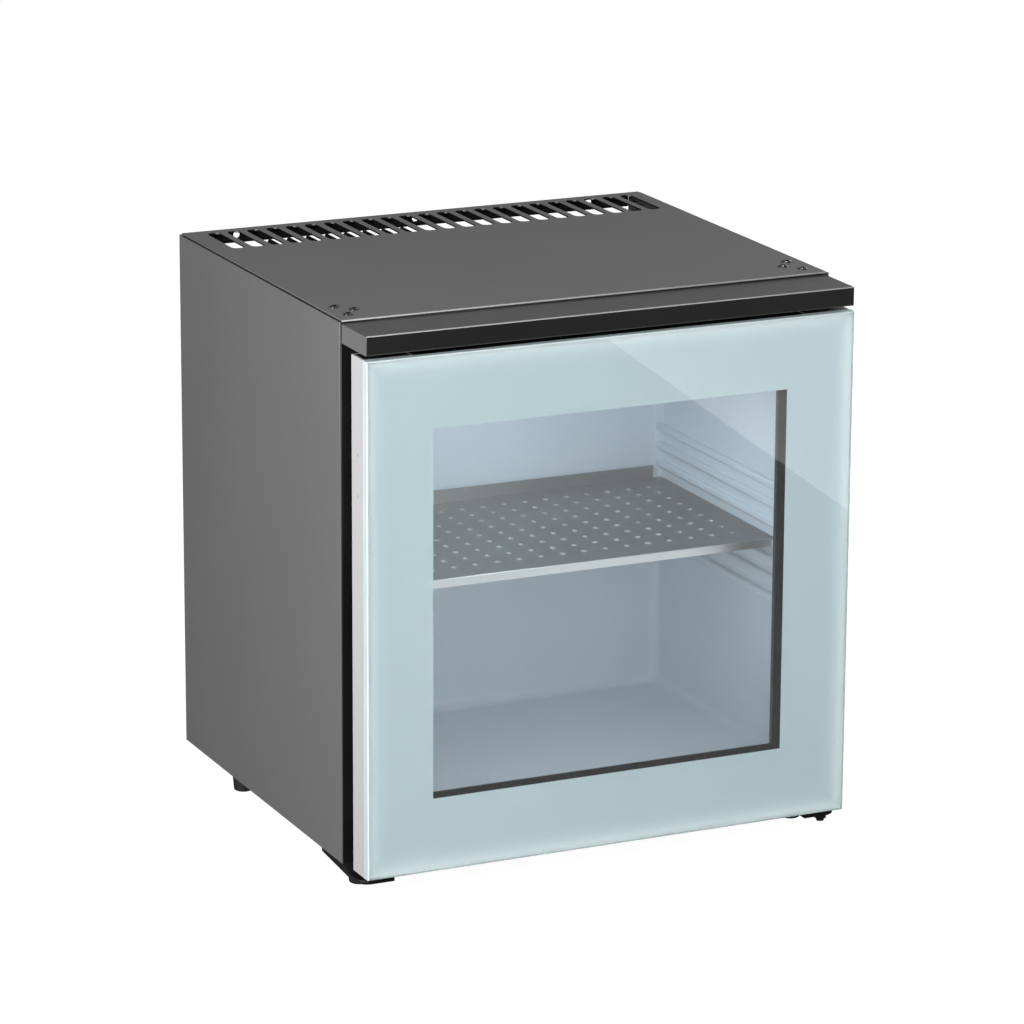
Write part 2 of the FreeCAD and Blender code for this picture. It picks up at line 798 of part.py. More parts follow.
def hinge_bracket(label, side, width, run, web, levels):
    """Cranked strip: an arm under or over the door, a web, and a tab fixed to the cabinet."""
    body = new_body(label)
    arm, tab = levels
    under_arm, under_tab, over_tab, over_arm = web
    profile = [
        (run[0], arm), (under_arm, arm), (under_tab, tab), (run[1], tab),
        (run[1], f"{tab} + bracket"), (over_tab, f"{tab} + bracket"), (over_arm, f"{arm} + bracket"),
        (run[0], f"{arm} + bracket"),
    ]
    slab(body, "YZ_Plane", *span(side, *width), lambda s: polygon(s, profile))
    outer = f"{SIDES[side]} * ({width[1]})"
    soften(body, "Fillet", "bracket_corner", lambda e: along(e, Z) and at(e, Y, run[0]) and at(e, X, outer))
    bores(body, "XY_Plane", arm, f"{arm} + bracket", on_side(side, [("pin_x", "pin_y")]),
          "pin_radius + pin_clearance")
    return body


def upper_bracket(side):
    """Bracket under the top panel whose arm lies inside the bar."""
    near = "front + upper_web_setback"
    far = f"{near} + bracket"
    body = hinge_bracket(f"upper_hinge_bracket_{side}", side, UPPER_BRACKET,
                         ("front - upper_bracket_front", "front + upper_bracket_rear"),
                         (far, far, near, near), ("upper_arm", "upper_tab"))
    bores(body, "XY_Plane", "upper_tab", "upper_tab + bracket", on_side(side, TOP_SCREWS))
    bores(body, "XY_Plane", "upper_arm", "upper_arm + bracket", on_side(side, BAR_SCREW))


def lower_bracket(side):
    """Bracket under the floor sheet with a slanting web and a gusset, held by a screw and the front foot."""
    low = "front - lower_web_run"
    rear_end = "front + lower_bracket_rear"
    body = hinge_bracket(f"lower_hinge_bracket_{side}", side, LOWER_BRACKET,
                         ("front - lower_bracket_front", rear_end),
                         (low, "front", "front", low), ("lower_arm", "lower_tab"))
    gusset = [(rear_end, "lower_tab"), ("front", "lower_tab"), (low, "lower_arm")]
    slab(body, "YZ_Plane", *span(side, f"{LOWER_BRACKET[1]} - bracket", LOWER_BRACKET[1]),
         lambda s: polygon(s, gusset))
    spots = [("foot_x", "foot_front_y"), ("foot_x", "front + lower_screw_setback")]
    bores(body, "XY_Plane", "lower_tab", "bottom", on_side(side, spots))


def upper_pin():
    """Riveted pin that holds the top of the door."""
    body = new_body("upper_hinge_pin")
    seat = "upper_arm + bracket"
    end = "door_top - pin_reach"
    turned(body, [("0", end), ("pin_radius", end), ("pin_radius", seat), ("pin_head_radius", seat),
                  ("pin_head_radius", f"{seat} + pin_head_height"), ("0", f"{seat} + pin_head_height")])
    at_hinge(body)


def lower_pin():
    """Pin with a collar that carries the door, and a threaded tail under the bracket."""
    body = new_body("lower_hinge_pin")
    seat = "lower_arm + bracket"
    collar = "door_bottom - door_rest_gap"
    tail = "lower_arm - pin_tail"
    tip = "door_bottom + pin_reach"
    turned(body, [("0", tail), ("pin_radius", tail), ("pin_radius", seat), ("pin_head_radius", seat),
                  ("pin_head_radius", collar), ("pin_radius", collar), ("pin_radius", tip), ("0", tip)])
    at_hinge(body)


def at_hinge(body):
    for axis, place in zip("xy", ("pin_x", "pin_y")):
        body.setExpression(f"Placement.Base.{axis}", spell(place))


def lower_nut():
    """Six-sided nut under the lower bracket."""
    body = new_body("lower_pin_nut")
    corners = [(f"nut_radius * {round(math.cos(turn), 6)}", f"nut_radius * {round(math.sin(turn), 6)}")
               for turn in (math.pi * (step + 0.5) / 3 for step in range(6))]
    slab(body, "XY_Plane", "lower_arm - nut_height", "lower_arm", lambda s: polygon(s, corners))
    bores(body, "XY_Plane", "lower_arm - nut_height", "lower_arm", [("0", "0")], "pin_radius + pin_clearance")
    at_hinge(body)


def bracket_screws():
    """Screws of the upper and lower brackets and of the bar."""
    upper = []
    lower = []
    bar = []
    for side in SIDES:
        for x, y in on_side(side, TOP_SCREWS):
            upper.append(screw("top_screw", (x, y, "top"), (0, 0, -1), "sheet + bracket + screw_end"))
        for x, y in on_side(side, [("foot_x", "front + lower_screw_setback")]):
            lower.append(screw("lower_screw", (x, y, "lower_tab"), (0, 0, 1), "bracket + sheet + screw_end"))
        for x, y in on_side(side, BAR_SCREW):
            bar.append(screw("bar_screw", (x, y, "bar_bottom"), (0, 0, 1), "bar_wall + bracket + screw_end"))
    keep(group("upper_bracket_screws", upper), "upper_bracket_screws")
    keep(group("lower_bracket_screws", lower), "lower_bracket_screws")
    keep(group("fascia_bar_screws", bar), "fascia_bar_screws")


# Feet

def feet():
    """Four tapered feet, each with a recess for its screw; the rear pair stands on spacer washers."""
    screws = []
    washers = []
    for side, sign in SIDES.items():
        for end, y in (("front", "foot_front_y"), ("rear", "foot_rear_y")):
            body = new_body(f"foot_{end}_{side}")
            bore = "screw_radius + fit"
            turned(body, [
                ("foot_recess_radius", "0"), ("foot_bottom_radius", "0"), ("foot_top_radius", "foot_body"),
                (bore, "foot_body"), (bore, "foot_recess_depth"), ("foot_recess_radius", "foot_recess_depth"),
            ])
            soften(body, "Fillet", "foot_edge_radius",
                   lambda e: at(e, Z, "0") and e.Curve.Radius > size("foot_recess_radius") + size("fit"))
            for axis, place in zip("xy", (f"{sign} * foot_x", y)):
                body.setExpression(f"Placement.Base.{axis}", spell(place))
            seat = (f"{sign} * foot_x", y, "foot_recess_depth")
            reach = "bottom + sheet + screw_end - foot_recess_depth"
            screws.append(screw(f"foot_screw_{end}_{side}", seat, (0, 0, 1), reach))
        under = (f"{sign} * foot_x", "foot_rear_y", "foot_body")
        disc = rod(f"washer_disc_{side}", "foot_top_radius", "bracket", under)
        bore = rod(f"washer_bore_{side}", "screw_radius + fit", "bracket", under)
        washers.append(cut(f"washer_{side}", disc, [bore]))
    keep(group("foot_screws", screws), "foot_screws")
    keep(group("rear_foot_washers", washers), "rear_foot_washers")


# Shelf

def shelf():
    """Perforated sheet with a front lip turned down and a shorter rear lip turned up."""
    body = new_body("shelf")
    slab(body, "XY_Plane", "shelf_bottom", "shelf_top",
         lambda s: rectangle(s, both("shelf_x"), ("shelf_front", "shelf_rear")))
    slab(body, "XZ_Plane", "shelf_front", "shelf_front + shelf_sheet",
         lambda s: rectangle(s, both("shelf_x - shelf_corner"), ("shelf_top - shelf_lip", "shelf_bottom")))
    slab(body, "XZ_Plane", "shelf_rear - shelf_sheet", "shelf_rear",
         lambda s: rectangle(s, both("shelf_x - shelf_back_inset"),
                             ("shelf_top", "shelf_top + shelf_back_lip")))
    soften(body, "Fillet", "shelf_corner",
           lambda e: along(e, Z) and (at(e, X, "shelf_x") or at(e, X, "-shelf_x")))
    soften(body, "Fillet", "shelf_sheet / 2",
           lambda e: along(e, X) and at(e, Y, "shelf_front") and at(e, Z, "shelf_top"))
    start = ("shelf_hole_side_margin - shelf_x", "shelf_front + shelf_hole_end_margin")
    hole = bores(body, "XY_Plane", "shelf_bottom", "shelf_top", [start], "shelf_hole_radius")
    grid = pattern(body, hole, "X_Axis", "shelf_hole_columns", "hole_step")
    grid.Direction2 = (origin_part(body, "Y_Axis"), [""])
    grid.setExpression("Occurrences2", spell("shelf_hole_rows"))
    grid.setExpression("Length2", spell("hole_row_step * (shelf_hole_rows - 1)"))
    doc.recompute()


# Lamp and thermostat

def lamp_housing():
    """Tray under the ceiling with a window for the lens and a hole for the thermostat spindle."""
    body = new_body("lamp_housing")
    slab(body, "XY_Plane", "lamp_bottom", "ceiling",
         lambda s: rectangle(s, both("lamp_x"), ("lamp_front", "lamp_rear")))
    soften(body, "Fillet", "lamp_wall", lambda e: along(e, Z) or at(e, Z, "lamp_bottom"))
    slab(body, "XY_Plane", "lamp_bottom + lamp_wall", "ceiling + overrun",
         lambda s: rectangle(s, both("lamp_x - lamp_wall"),
                             ("lamp_front + lamp_wall", "lamp_rear - lamp_wall")), remove=True)
    slab(body, "XY_Plane", "lamp_bottom - overrun", "lamp_bottom + lamp_wall + overrun / 2",
         lambda s: rectangle(s, lens_span("0"), lens_run("0")), remove=True)
    bores(body, "XZ_Plane", "lamp_front", "lamp_front + lamp_wall", [("knob_x", "knob_z")],
          "spindle_radius + pin_clearance")


def lens_span(lap):
    return f"-(lens_width - knob_offset / 2) - ({lap})", f"knob_offset / 2 + ({lap})"


def lens_run(lap):
    return f"lens_middle - lens_depth / 2 - ({lap})", f"lens_middle + lens_depth / 2 + ({lap})"


def lamp_lens():
    """Diffuser that drops through the tray's window and hangs on its edge."""
    face = block("lens_face", lens_span("-fit"), lens_run("-fit"),
                 ("lamp_bottom", "lamp_bottom + lamp_wall"))
    edge = block("lens_edge", lens_span("lens_lap"), lens_run("lens_lap"),
                 ("lamp_bottom + lamp_wall", "lamp_bottom + lamp_wall + lens_thickness"))
    keep(join("lamp_lens", [face, edge]), "lamp_lens")


def lamp_board():
    """Small board against the ceiling with a row of light diodes under it."""
    shapes = [block("lamp_board_plate", lens_span("-board_margin / 2"), lens_run("-board_margin / 2"),
                    ("ceiling - board", "ceiling"))]
    for step in range(SIZES["diode_count"]):
        shift = f"diode_pitch * ({step} - (diode_count - 1) / 2)"
        middle = f"(knob_offset - lens_width) / 2 + {shift}"
        shapes.append(block(f"diode_{step}", (f"{middle} - diode_width / 2", f"{middle} + diode_width / 2"),
                            ("lens_middle - diode_width / 2", "lens_middle + diode_width / 2"),
                            ("ceiling - board - diode_height", "ceiling - board")))
    keep(join("lamp_board", shapes), "lamp_board")


def thermostat_knob():
    """Round knob with a flat grip, on a spindle that turns in the tray's front wall."""
    back = "lamp_front - knob_gap"
    face = f"{back} - knob_depth / 2"
    disc = rod("knob_disc", "knob_radius", "knob_depth / 2", ("knob_x", face, "knob_z"), (0, 1, 0))
    grip = block("knob_grip", about("knob_x", "knob_flat / 2"), (f"{back} - knob_depth", face),
                 about("knob_z", "knob_radius * knob_grip_share"))
    spindle = rod("knob_spindle", "spindle_radius", "knob_gap + spindle_reach", ("knob_x", back, "knob_z"),
                  (0, 1, 0))
    keep(join("thermostat_knob", [disc, grip, spindle]), "thermostat_knob")


# Cold plate and evaporator

def cold_screw_spots():
    x = "cold_x - cold_screw_margin"
    levels = ("cold_high - cold_screw_margin", "cold_low + cold_screw_margin")
    return [(f"{sign} * ({x})", z) for sign in SIDES.values() for z in levels]


def cold_plate():
    """Ribbed cooling plate on the rear wall of the interior."""
    body = new_body("cold_plate")
    slab(body, "XZ_Plane", "cold_front", "back_wall",
         lambda s: rectangle(s, both("cold_x"), ("cold_low", "cold_high")))
    bores(body, "XZ_Plane", "cold_front", "back_wall", cold_screw_spots())
    first = "-cold_fin_pitch * (cold_fin_count - 1) / 2"
    fin = slab(body, "XZ_Plane", "cold_front - cold_fin_depth", "cold_front",
               lambda s: rectangle(s, about(first, "cold_fin / 2"), ("cold_low", "cold_high")))
    pattern(body, fin, "X_Axis", "cold_fin_count", "cold_fin_pitch")


def spreader_plate():
    """Plate behind the liner that carries the evaporator tube and takes the cold plate's screws."""
    body = new_body("evaporator_plate")
    slab(body, "XZ_Plane", "liner_back", "spread_back",
         lambda s: rectangle(s, both("cold_x"), ("cold_low", "cold_high")))
    bores(body, "XZ_Plane", "liner_back", "spread_back", cold_screw_spots())


def cold_plate_screws():
    screws = [screw("cold_screw", (x, "cold_front", z), (0, 1, 0), "cold_plate + liner + cold_plate")
              for x, z in cold_screw_spots()]
    keep(group("cold_plate_screws", screws), "cold_plate_screws")


def evaporator_plug():
    """Block of insulation behind the evaporator, short of the place where its tube comes in."""
    keep(block("evaporator_plug", ("entry_x + bend + tube_radius + tube_gap", "recess_x - fit"),
               ("tube_y + tube_radius + fit", "back_skin"), ("recess_low + fit", "recess_high - fit")),
         "evaporator_plug")


# Tubes of the cooling unit

def bent_tube(name, places, bend="bend"):
    """A round tube along straight runs joined by tangent arcs."""
    corners = [point(*place) for place in places]
    radius, turn = size("tube_radius"), size(bend)
    edges = []
    start = corners[0]
    for before, corner, after in zip(corners, corners[1:], corners[2:]):
        inward = (before - corner).normalize()
        outward = (after - corner).normalize()
        half = inward.getAngle(outward) / 2
        leave = corner + inward * (turn / math.tan(half))
        enter = corner + outward * (turn / math.tan(half))
        crown = corner + (inward + outward).normalize() * (turn / math.sin(half) - turn)
        edges.append(Part.LineSegment(start, leave).toShape())
        edges.append(Part.Arc(leave, crown, enter).toShape())
        start = enter
    edges.append(Part.LineSegment(start, corners[-1]).toShape())
    path = Part.Wire(edges)
    section = Part.Wire([Part.Circle(corners[0], corners[1] - corners[0], radius).toShape()])
    made = doc.addObject("Part::Feature", name)
    made.Shape = path.makePipeShell([section], True, False)
    expected = math.pi * radius ** 2 * path.Length
    if abs(made.Shape.Volume / expected - 1) > 1e-3:
        raise RuntimeError(f"{name}: volume {made.Shape.Volume:.0f}, expected {expected:.0f}")
    return made


def condenser():
    """Tube from the boiler along the top of the air space, with square fins on its straight run."""
    tube = bent_tube("condenser_tube", [
        ("boiler_x", "unit_y", "boiler_top"), ("boiler_x", "unit_y", "condenser_z"),
        ("entry_x", "unit_y", "condenser_z"), ("entry_x", "unit_y", "top - condenser_end_drop"),
    ])
    keep(tube, "condenser_tube")
    body = new_body("condenser_fins")
    start = "fin_start - outer_x"
    half = "fin_size / 2"
    near, far = f"unit_y - {half}", f"unit_y + {half}"
    low, high = f"condenser_z - {half}", f"condenser_z + {half}"

    def outline(sketch):
        polygon(sketch, [(near, low), (far, low), (far, f"{high} - fin_clip"), (f"{far} - fin_clip", high),
                         (f"{near} + fin_clip", high), (near, f"{high} - fin_clip")])
        circle(sketch, "unit_y", "condenser_z", "tube_radius + fit")
    fin = slab(body, "YZ_Plane", f"{start} - fin", start, outline)
    pattern(body, fin, "X_Axis", "fin_count", "fin_pitch")


def evaporator_tube():
    """Tube from the condenser through the rear wall, once along behind the plate and back, then down."""
    turn = "evaporator_reach"
    raw = bent_tube("evaporator_run", [
        ("entry_x", "unit_y", "top - condenser_end_drop"), ("entry_x", "unit_y", "evaporator_high"),
        ("entry_x", "tube_y", "evaporator_high"), (turn, "tube_y", "evaporator_high"),
        (turn, "tube_y", "evaporator_low"), ("entry_x", "tube_y", "evaporator_low"),
        ("entry_x", "unit_y", "evaporator_low"), ("entry_x", "unit_y", "vessel_z"),
    ])
    keep(cut("evaporator_tube", raw, [vessel_core("evaporator_weld")]), "evaporator_tube")


def vessel_core(name):
    return rod(name, "vessel_radius", "vessel_length", ("vessel_start", "unit_y", "vessel_z"), (1, 0, 0))


def absorber():
    """Liquid vessel across the foot of the air space, and the coil that rises from it to the boiler."""
    body = new_body("absorber_vessel")
    slab(body, "YZ_Plane", "vessel_start", "vessel_stop",
         lambda s: circle(s, "unit_y", "vessel_z", "vessel_radius"))
    soften(body, "Fillet", "vessel_edge_radius",
           lambda e: at(e, X, "vessel_start") or at(e, X, "vessel_stop"))
    route = [("coil_feed", "unit_y", "vessel_z"), ("coil_feed", "unit_y", "coil_low")]
    for run in range(SIZES["coil_runs"]):
        level = f"coil_low + coil_pitch * {run}"
        if run:
            route.append(("coil_right" if run % 2 else "coil_left", "unit_y", level))
        last = run == SIZES["coil_runs"] - 1
        end = "boiler_x" if last else ("coil_left" if run % 2 else "coil_right")
        route.append((end, "unit_y", level))
    raw = bent_tube("coil_run", route, "coil_pitch * coil_bend_share")
    ends = [vessel_core("coil_weld"), jacket_core("coil_jacket_weld")]
    keep(cut("absorber_coil", raw, ends), "absorber_coil")


def jacket_core(name):
    return rod(name, "jacket_radius", "jacket_roof - jacket_floor", ("boiler_x", "unit_y", "jacket_floor"))


def boiler():
    """Insulated can round the boiler tube, with a pocket for the heater."""
    body = new_body("boiler_jacket")
    low, high = "jacket_floor", "jacket_roof"
    heater = ("boiler_x + heater_offset", "unit_y")
    slab(body, "XY_Plane", low, high, lambda s: circle(s, "boiler_x", "unit_y", "jacket_radius"))
    soften(body, "Fillet", "jacket_edge_radius", lambda e: at(e, Z, low) or at(e, Z, high))
    bores(body, "XY_Plane", low, high, [("boiler_x", "unit_y")], "boiler_radius + fit")
    pocket = "bottom + heater_low + heater_length + fit"
    holes(body, "XY_Plane", f"{low} - overrun", pocket, [heater], "heater_radius + fit")
    keep(rod("boiler_tube", "boiler_radius", "boiler_top - bottom - boiler_low",
             ("boiler_x", "unit_y", "bottom + boiler_low")), "boiler_tube")
    keep(rod("heater_cartridge", "heater_radius", "heater_length", (*heater, "bottom + heater_low")),
         "heater_cartridge")


def unit_supports():
    """Saddles and a folded strap that hold the cooling unit off the rear panel."""
    depth = ("back_panel", "unit_y")
    levels = ("jacket_floor + saddle_end", "jacket_roof - saddle_end - saddle_height")
    places = ("vessel_start + saddle_end", "vessel_stop - saddle_end - saddle_width")
    saddles = []
    for level in levels:
        foot = block("jacket_block", about("boiler_x", "saddle_width / 2"), depth,
                     (level, f"{level} + saddle_height"))
        saddles.append(cut("jacket_saddle", foot, [jacket_core("jacket_seat")]))
    for place in places:
        foot = block("vessel_block", (place, f"{place} + saddle_width"), depth,
                     about("vessel_z", "saddle_height / 2"))
        saddles.append(cut("vessel_saddle", foot, [vessel_core("vessel_seat")]))
    keep(group("unit_saddles", saddles), "unit_saddles")
    middle = "(coil_left + coil_right) / 2"
    face = "unit_y - tube_radius"
    tall = ("coil_low - tube_radius", "coil_low + coil_pitch * (coil_runs - 1) + tube_radius")
    outer = block("strap_outer", about(middle, "strap_width / 2"), ("back_panel", face), tall)
    inner = block("strap_inner", about(middle, "strap_width / 2 - sheet"),
                  ("back_panel - overrun", f"{face} - sheet"),
                  (f"{tall[0]} - overrun", f"{tall[1]} + overrun"))
    keep(cut("coil_strap", outer, [inner]), "coil_strap")


# Control box

def control_box():
    """Cover over the electrics, open against the rear panel, with a hole for the appliance inlet."""
    body = new_body("control_box")
    slab(body, "XZ_Plane", "back_panel", "box_rear",
         lambda s: rectangle(s, ("box_left", "box_right"), ("box_low", "box_high")))
    soften(body, "Fillet", "box_wall", lambda e: at(e, Y, "box_rear") or along(e, Y))
    slab(body, "XZ_Plane", "back_panel - overrun", "box_rear - box_wall",
         lambda s: rectangle(s, ("box_left + box_wall", "box_right - box_wall"),
                             ("box_low + box_wall", "box_high - box_wall")), remove=True)
    slab(body, "XZ_Plane", "box_rear - box_wall - overrun / 2", "box_rear + overrun",
         lambda s: inlet_outline(s, "fit"), remove=True)


def inlet_outline(sketch, growth):
    """The inlet's outline, grown or shrunk all round."""
    rectangle(sketch, about("inlet_x", f"inlet_width / 2 + {growth}"),
              about("inlet_z", f"inlet_height / 2 + {growth}"))


def power_inlet():
    """Appliance inlet: a lipped shroud with three blades standing in its socket."""
    body = new_body("power_inlet")
    low = "box_rear - inlet_depth"
    mouth = "box_rear + inlet_lip_depth"
    slab(body, "XZ_Plane", low, "box_rear", lambda s: inlet_outline(s, "0"))
    slab(body, "XZ_Plane", "box_rear", mouth, lambda s: inlet_outline(s, "inlet_lip"))
    slab(body, "XZ_Plane", f"{low} + inlet_wall", f"{mouth} + overrun",
         lambda s: inlet_outline(s, "-inlet_wall"), remove=True)

    def blades(sketch):
        for x, z in (("-blade_spacing / 2", "-earth_rise / 2"), ("blade_spacing / 2", "-earth_rise / 2"),
                     ("0", "earth_rise")):
            rectangle(sketch, about(f"inlet_x + ({x})", "blade_width / 2"),
                      about(f"inlet_z + ({z})", "blade_height / 2"))
    slab(body, "XZ_Plane", f"{low} + inlet_wall", f"{low} + inlet_wall + blade_reach", blades)


def control_board():
    """Circuit board held off the rear panel by four standoffs."""
    wide = ("box_left + circuit_margin", "box_right - circuit_margin")
    tall = ("box_low + circuit_margin", "box_high - circuit_margin")
    face = "back_panel + standoff_height"
    plate = block("circuit_plate", wide, (face, f"{face} + board"), tall)
    legs = [rod("circuit_leg", "standoff_radius", "standoff_height", (x, "back_panel", z), (0, 1, 0))
            for x in (f"{wide[0]} + standoff_radius", f"{wide[1]} - standoff_radius")
            for z in (f"{tall[0]} + standoff_radius", f"{tall[1]} - standoff_radius")]
    keep(join("control_board", [plate] + legs), "control_board")


# Door

GLAZING = (both("stile_x - fit"), ("rail_low + fit", "rail_high - fit"))
REVEAL = (both("reveal_x"), ("reveal_low", "reveal_high"))
CLAMP = (both("clamp_x"), ("clamp_low", "clamp_high"))


def outer_glass():
    """Front pane with bevelled edges."""
    body = new_body("outer_glass")
    slab(body, "XZ_Plane", "door_front", "enamel_front",
         lambda s: rectangle(s, both("door_x"), ("door_bottom", "door_top")))
    soften(body, "Chamfer", "pane_bevel", lambda e: at(e, Y, "door_front"))


def glass_enamel():
    """Coloured border fired on the back of the front pane, leaving the window clear."""
    body = new_body("glass_enamel")
    ring(body, "XZ_Plane", "enamel_front", "profile_front", (both("door_x"), ("door_bottom", "door_top")),
         (both("window_x"), ("window_low", "window_high")))


def spacer_frame():
    """Black spacer that holds the two panes apart."""
    body = new_body("spacer_frame")
    ring(body, "XZ_Plane", "profile_front", "inner_pane_front", GLAZING, REVEAL)


def inner_glass():
    wide, tall = GLAZING
    keep(block("inner_glass", wide, ("inner_pane_front", "inner_pane_back"), tall), "inner_glass")


def inner_frame():
    """Black frame on the back of the door that clamps the inner pane and carries the seal."""
    body = new_body("inner_frame")
    ring(body, "XZ_Plane", "inner_pane_back", "profile_back", GLAZING, CLAMP)
    ring(body, "XZ_Plane", "profile_back", "inner_frame_back",
         (both("door_x - inner_frame_inset"),
          ("door_bottom + inner_frame_inset", "door_top - inner_frame_inset")), CLAMP)


def stile(side):
    """Upright hollow profile of the door frame; the free side has two small pilot holes."""
    body = new_body(f"{side}_stile")
    wall = "profile_wall"
    slab(body, "XY_Plane", "door_bottom", "door_top",
         lambda s: rectangle(s, span(side, "stile_x", "door_x"), ("profile_front", "profile_back")))
    slab(body, "XY_Plane", "door_bottom - overrun", "door_top + overrun",
         lambda s: rectangle(s, span(side, f"stile_x + {wall}", f"door_x - {wall}"),
                             (f"profile_front + {wall}", f"profile_back - {wall}")), remove=True)
    if side == "left":
        spots = [("profile_front + pilot_setback", z) for z in
                 ("door_top - pilot_drop", "door_top - pilot_drop - pilot_spacing")]
        bores(body, "YZ_Plane", "-door_x", "-door_x + profile_wall", spots, "pilot_radius")


def rail(label, low, high):
    """Level hollow profile between the stiles."""
    outer = block(label + "_outer", both("stile_x"), ("profile_front", "profile_back"), (low, high))
    hollow = block(label + "_hollow", both("stile_x + overrun"),
                   ("profile_front + profile_wall", "profile_back - profile_wall"),
                   (f"{low} + profile_wall", f"{high} - profile_wall"))
    keep(cut(label, outer, [hollow]), label)


def end_plugs():
    """Plugs in the ends of the stiles, each with a pin bore because the door can be hung on either side."""
    plugs = []
    wide = ("stile_x + profile_wall + fit", "door_x - profile_wall - fit")
    deep = ("profile_front + profile_wall + fit", "profile_back - profile_wall - fit")
    room = "(pin_reach + plug_depth) / 2"
    for side, sign in SIDES.items():
        for end, low, mouth in (("top", "door_top - plug_depth", f"door_top - {room}"),
                                ("bottom", "door_bottom", "door_bottom - overrun")):
            body = block(f"{end}_plug_{side}", span(side, *wide), deep, (low, f"{low} + plug_depth"))
            bore = rod(f"{end}_plug_bore_{side}", "pin_radius + pin_clearance", f"{room} + overrun",
                       (f"{sign} * pin_x", "pin_y", mouth))
            plugs.append(cut(f"{end}_stile_plug_{side}", body, [bore]))
    keep(group("stile_end_plugs", plugs), "stile_end_plugs")


def round_opening(step):
    """The cabinet's opening, larger by a step all round."""
    return both(f"inner_x + {step}"), (f"floor_level - ({step})", f"ceiling + {step}")


MAGNET_STEP = "gasket_inset + (gasket_width - magnet_width) / 2"


def gasket():
    """Soft black seal round the back of the door, with a channel for the magnets."""
    body = new_body("gasket")
    ring(body, "XZ_Plane", "inner_frame_back", "gasket_back",
         round_opening("gasket_inset + gasket_width"), round_opening("gasket_inset"))
    soften(body, "Fillet", "gasket_round", lambda e: at(e, Y, "gasket_back"))

    def channel(sketch):
        rectangle(sketch, *round_opening(f"{MAGNET_STEP} + magnet_width"))
        rectangle(sketch, *round_opening(MAGNET_STEP))
    slab(body, "XZ_Plane", "inner_frame_back - overrun", "inner_frame_back + magnet_depth", channel,
         remove=True)


def magnet_strips():
    """Four magnet strips in the seal's channel."""
    depth = ("inner_frame_back", "inner_frame_back + magnet_depth - fit")
    near, far = f"{MAGNET_STEP} + fit", f"{MAGNET_STEP} + magnet_width - fit"
    tall = round_opening(MAGNET_STEP)[1]
    strips = [block(f"magnet_{side}", span(side, f"inner_x + {near}", f"inner_x + {far}"), depth, tall)
              for side in SIDES]
    strips.append(block("magnet_top", both("inner_x"), depth, (f"ceiling + {near}", f"ceiling + {far}")))
    strips.append(block("magnet_bottom", both("inner_x"), depth,
                        (f"floor_level - ({far})", f"floor_level - ({near})")))
    keep(group("magnet_strips", strips), "magnet_strips")


# Building and writing

def build():
    top_panel()
    for side in SIDES:
        side_panel(side)
        upper_bracket(side)
        lower_bracket(side)
        stile(side)
    base_plate()
    rear_panel()
    inner_liner()
    insulation_foam()
    front_frame()
    fascia_bar()
    upper_pin()
    lower_pin()
    lower_nut()
    bracket_screws()
    feet()
    shelf()
    lamp_housing()
    lamp_lens()
    lamp_board()
    thermostat_knob()
    cold_plate()
    spreader_plate()
    cold_plate_screws()
    evaporator_plug()
    condenser()
    evaporator_tube()
    absorber()
    boiler()
    unit_supports()
    control_box()
    power_inlet()
    control_board()
    outer_glass()
    glass_enamel()
    spacer_frame()
    inner_glass()
    inner_frame()
    rail("top_rail", "rail_high", "door_top")
    rail("bottom_rail", "door_bottom", "rail_low")
    end_plugs()
    gasket()
    magnet_strips()


def check():
    """Stop unless every object recomputed and every sub-part is a sound solid."""
    doc.recompute()
    for made in doc.Objects:
        if {"Invalid", "Error"} & set(made.State):
            raise RuntimeError(f"{made.Label} failed: {made.State}")
    for made in subparts:
        if made.Shape.isNull() or not made.Shape.isValid() or not made.Shape.Solids:
            raise RuntimeError(f"{made.Label} has no sound solid")


build()
check()
os.makedirs("parts", exist_ok=True)
for subpart in subparts:
    subpart.Shape.exportStep(f"parts/{subpart.Label}.step")
    print(f"{subpart.Label}: {len(subpart.Shape.Solids)} solids, {subpart.Shape.Volume / 1000:.1f} cm3")
print(f"{len(subparts)} sub-parts")
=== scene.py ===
import json
import math

import bmesh
import bpy
from mathutils import Euler, Matrix, Vector

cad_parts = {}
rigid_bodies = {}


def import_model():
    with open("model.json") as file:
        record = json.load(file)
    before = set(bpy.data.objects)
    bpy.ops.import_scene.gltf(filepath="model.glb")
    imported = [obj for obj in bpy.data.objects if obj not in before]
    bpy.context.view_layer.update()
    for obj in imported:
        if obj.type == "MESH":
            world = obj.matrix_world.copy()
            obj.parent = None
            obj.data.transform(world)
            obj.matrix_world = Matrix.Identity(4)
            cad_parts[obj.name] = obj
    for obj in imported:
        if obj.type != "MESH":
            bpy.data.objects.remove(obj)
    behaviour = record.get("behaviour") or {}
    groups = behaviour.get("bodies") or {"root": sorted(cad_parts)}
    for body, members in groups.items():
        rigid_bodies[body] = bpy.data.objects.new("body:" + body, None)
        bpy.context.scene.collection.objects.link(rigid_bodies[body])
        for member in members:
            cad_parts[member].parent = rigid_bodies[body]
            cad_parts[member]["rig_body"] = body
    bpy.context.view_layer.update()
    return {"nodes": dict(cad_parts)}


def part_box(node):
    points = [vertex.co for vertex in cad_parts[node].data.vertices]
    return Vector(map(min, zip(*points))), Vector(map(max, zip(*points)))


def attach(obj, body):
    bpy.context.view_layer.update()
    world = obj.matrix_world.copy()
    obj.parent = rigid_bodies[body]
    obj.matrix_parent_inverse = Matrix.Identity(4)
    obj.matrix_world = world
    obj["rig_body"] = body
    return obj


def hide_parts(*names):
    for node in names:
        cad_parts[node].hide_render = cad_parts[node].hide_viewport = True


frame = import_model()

# A small hotel minibar: powder-coated cabinet, black bar, pale glass door, and a cooling unit behind.

nodes = frame["nodes"]
scene = bpy.context.scene
MM = 0.001


# Finishes

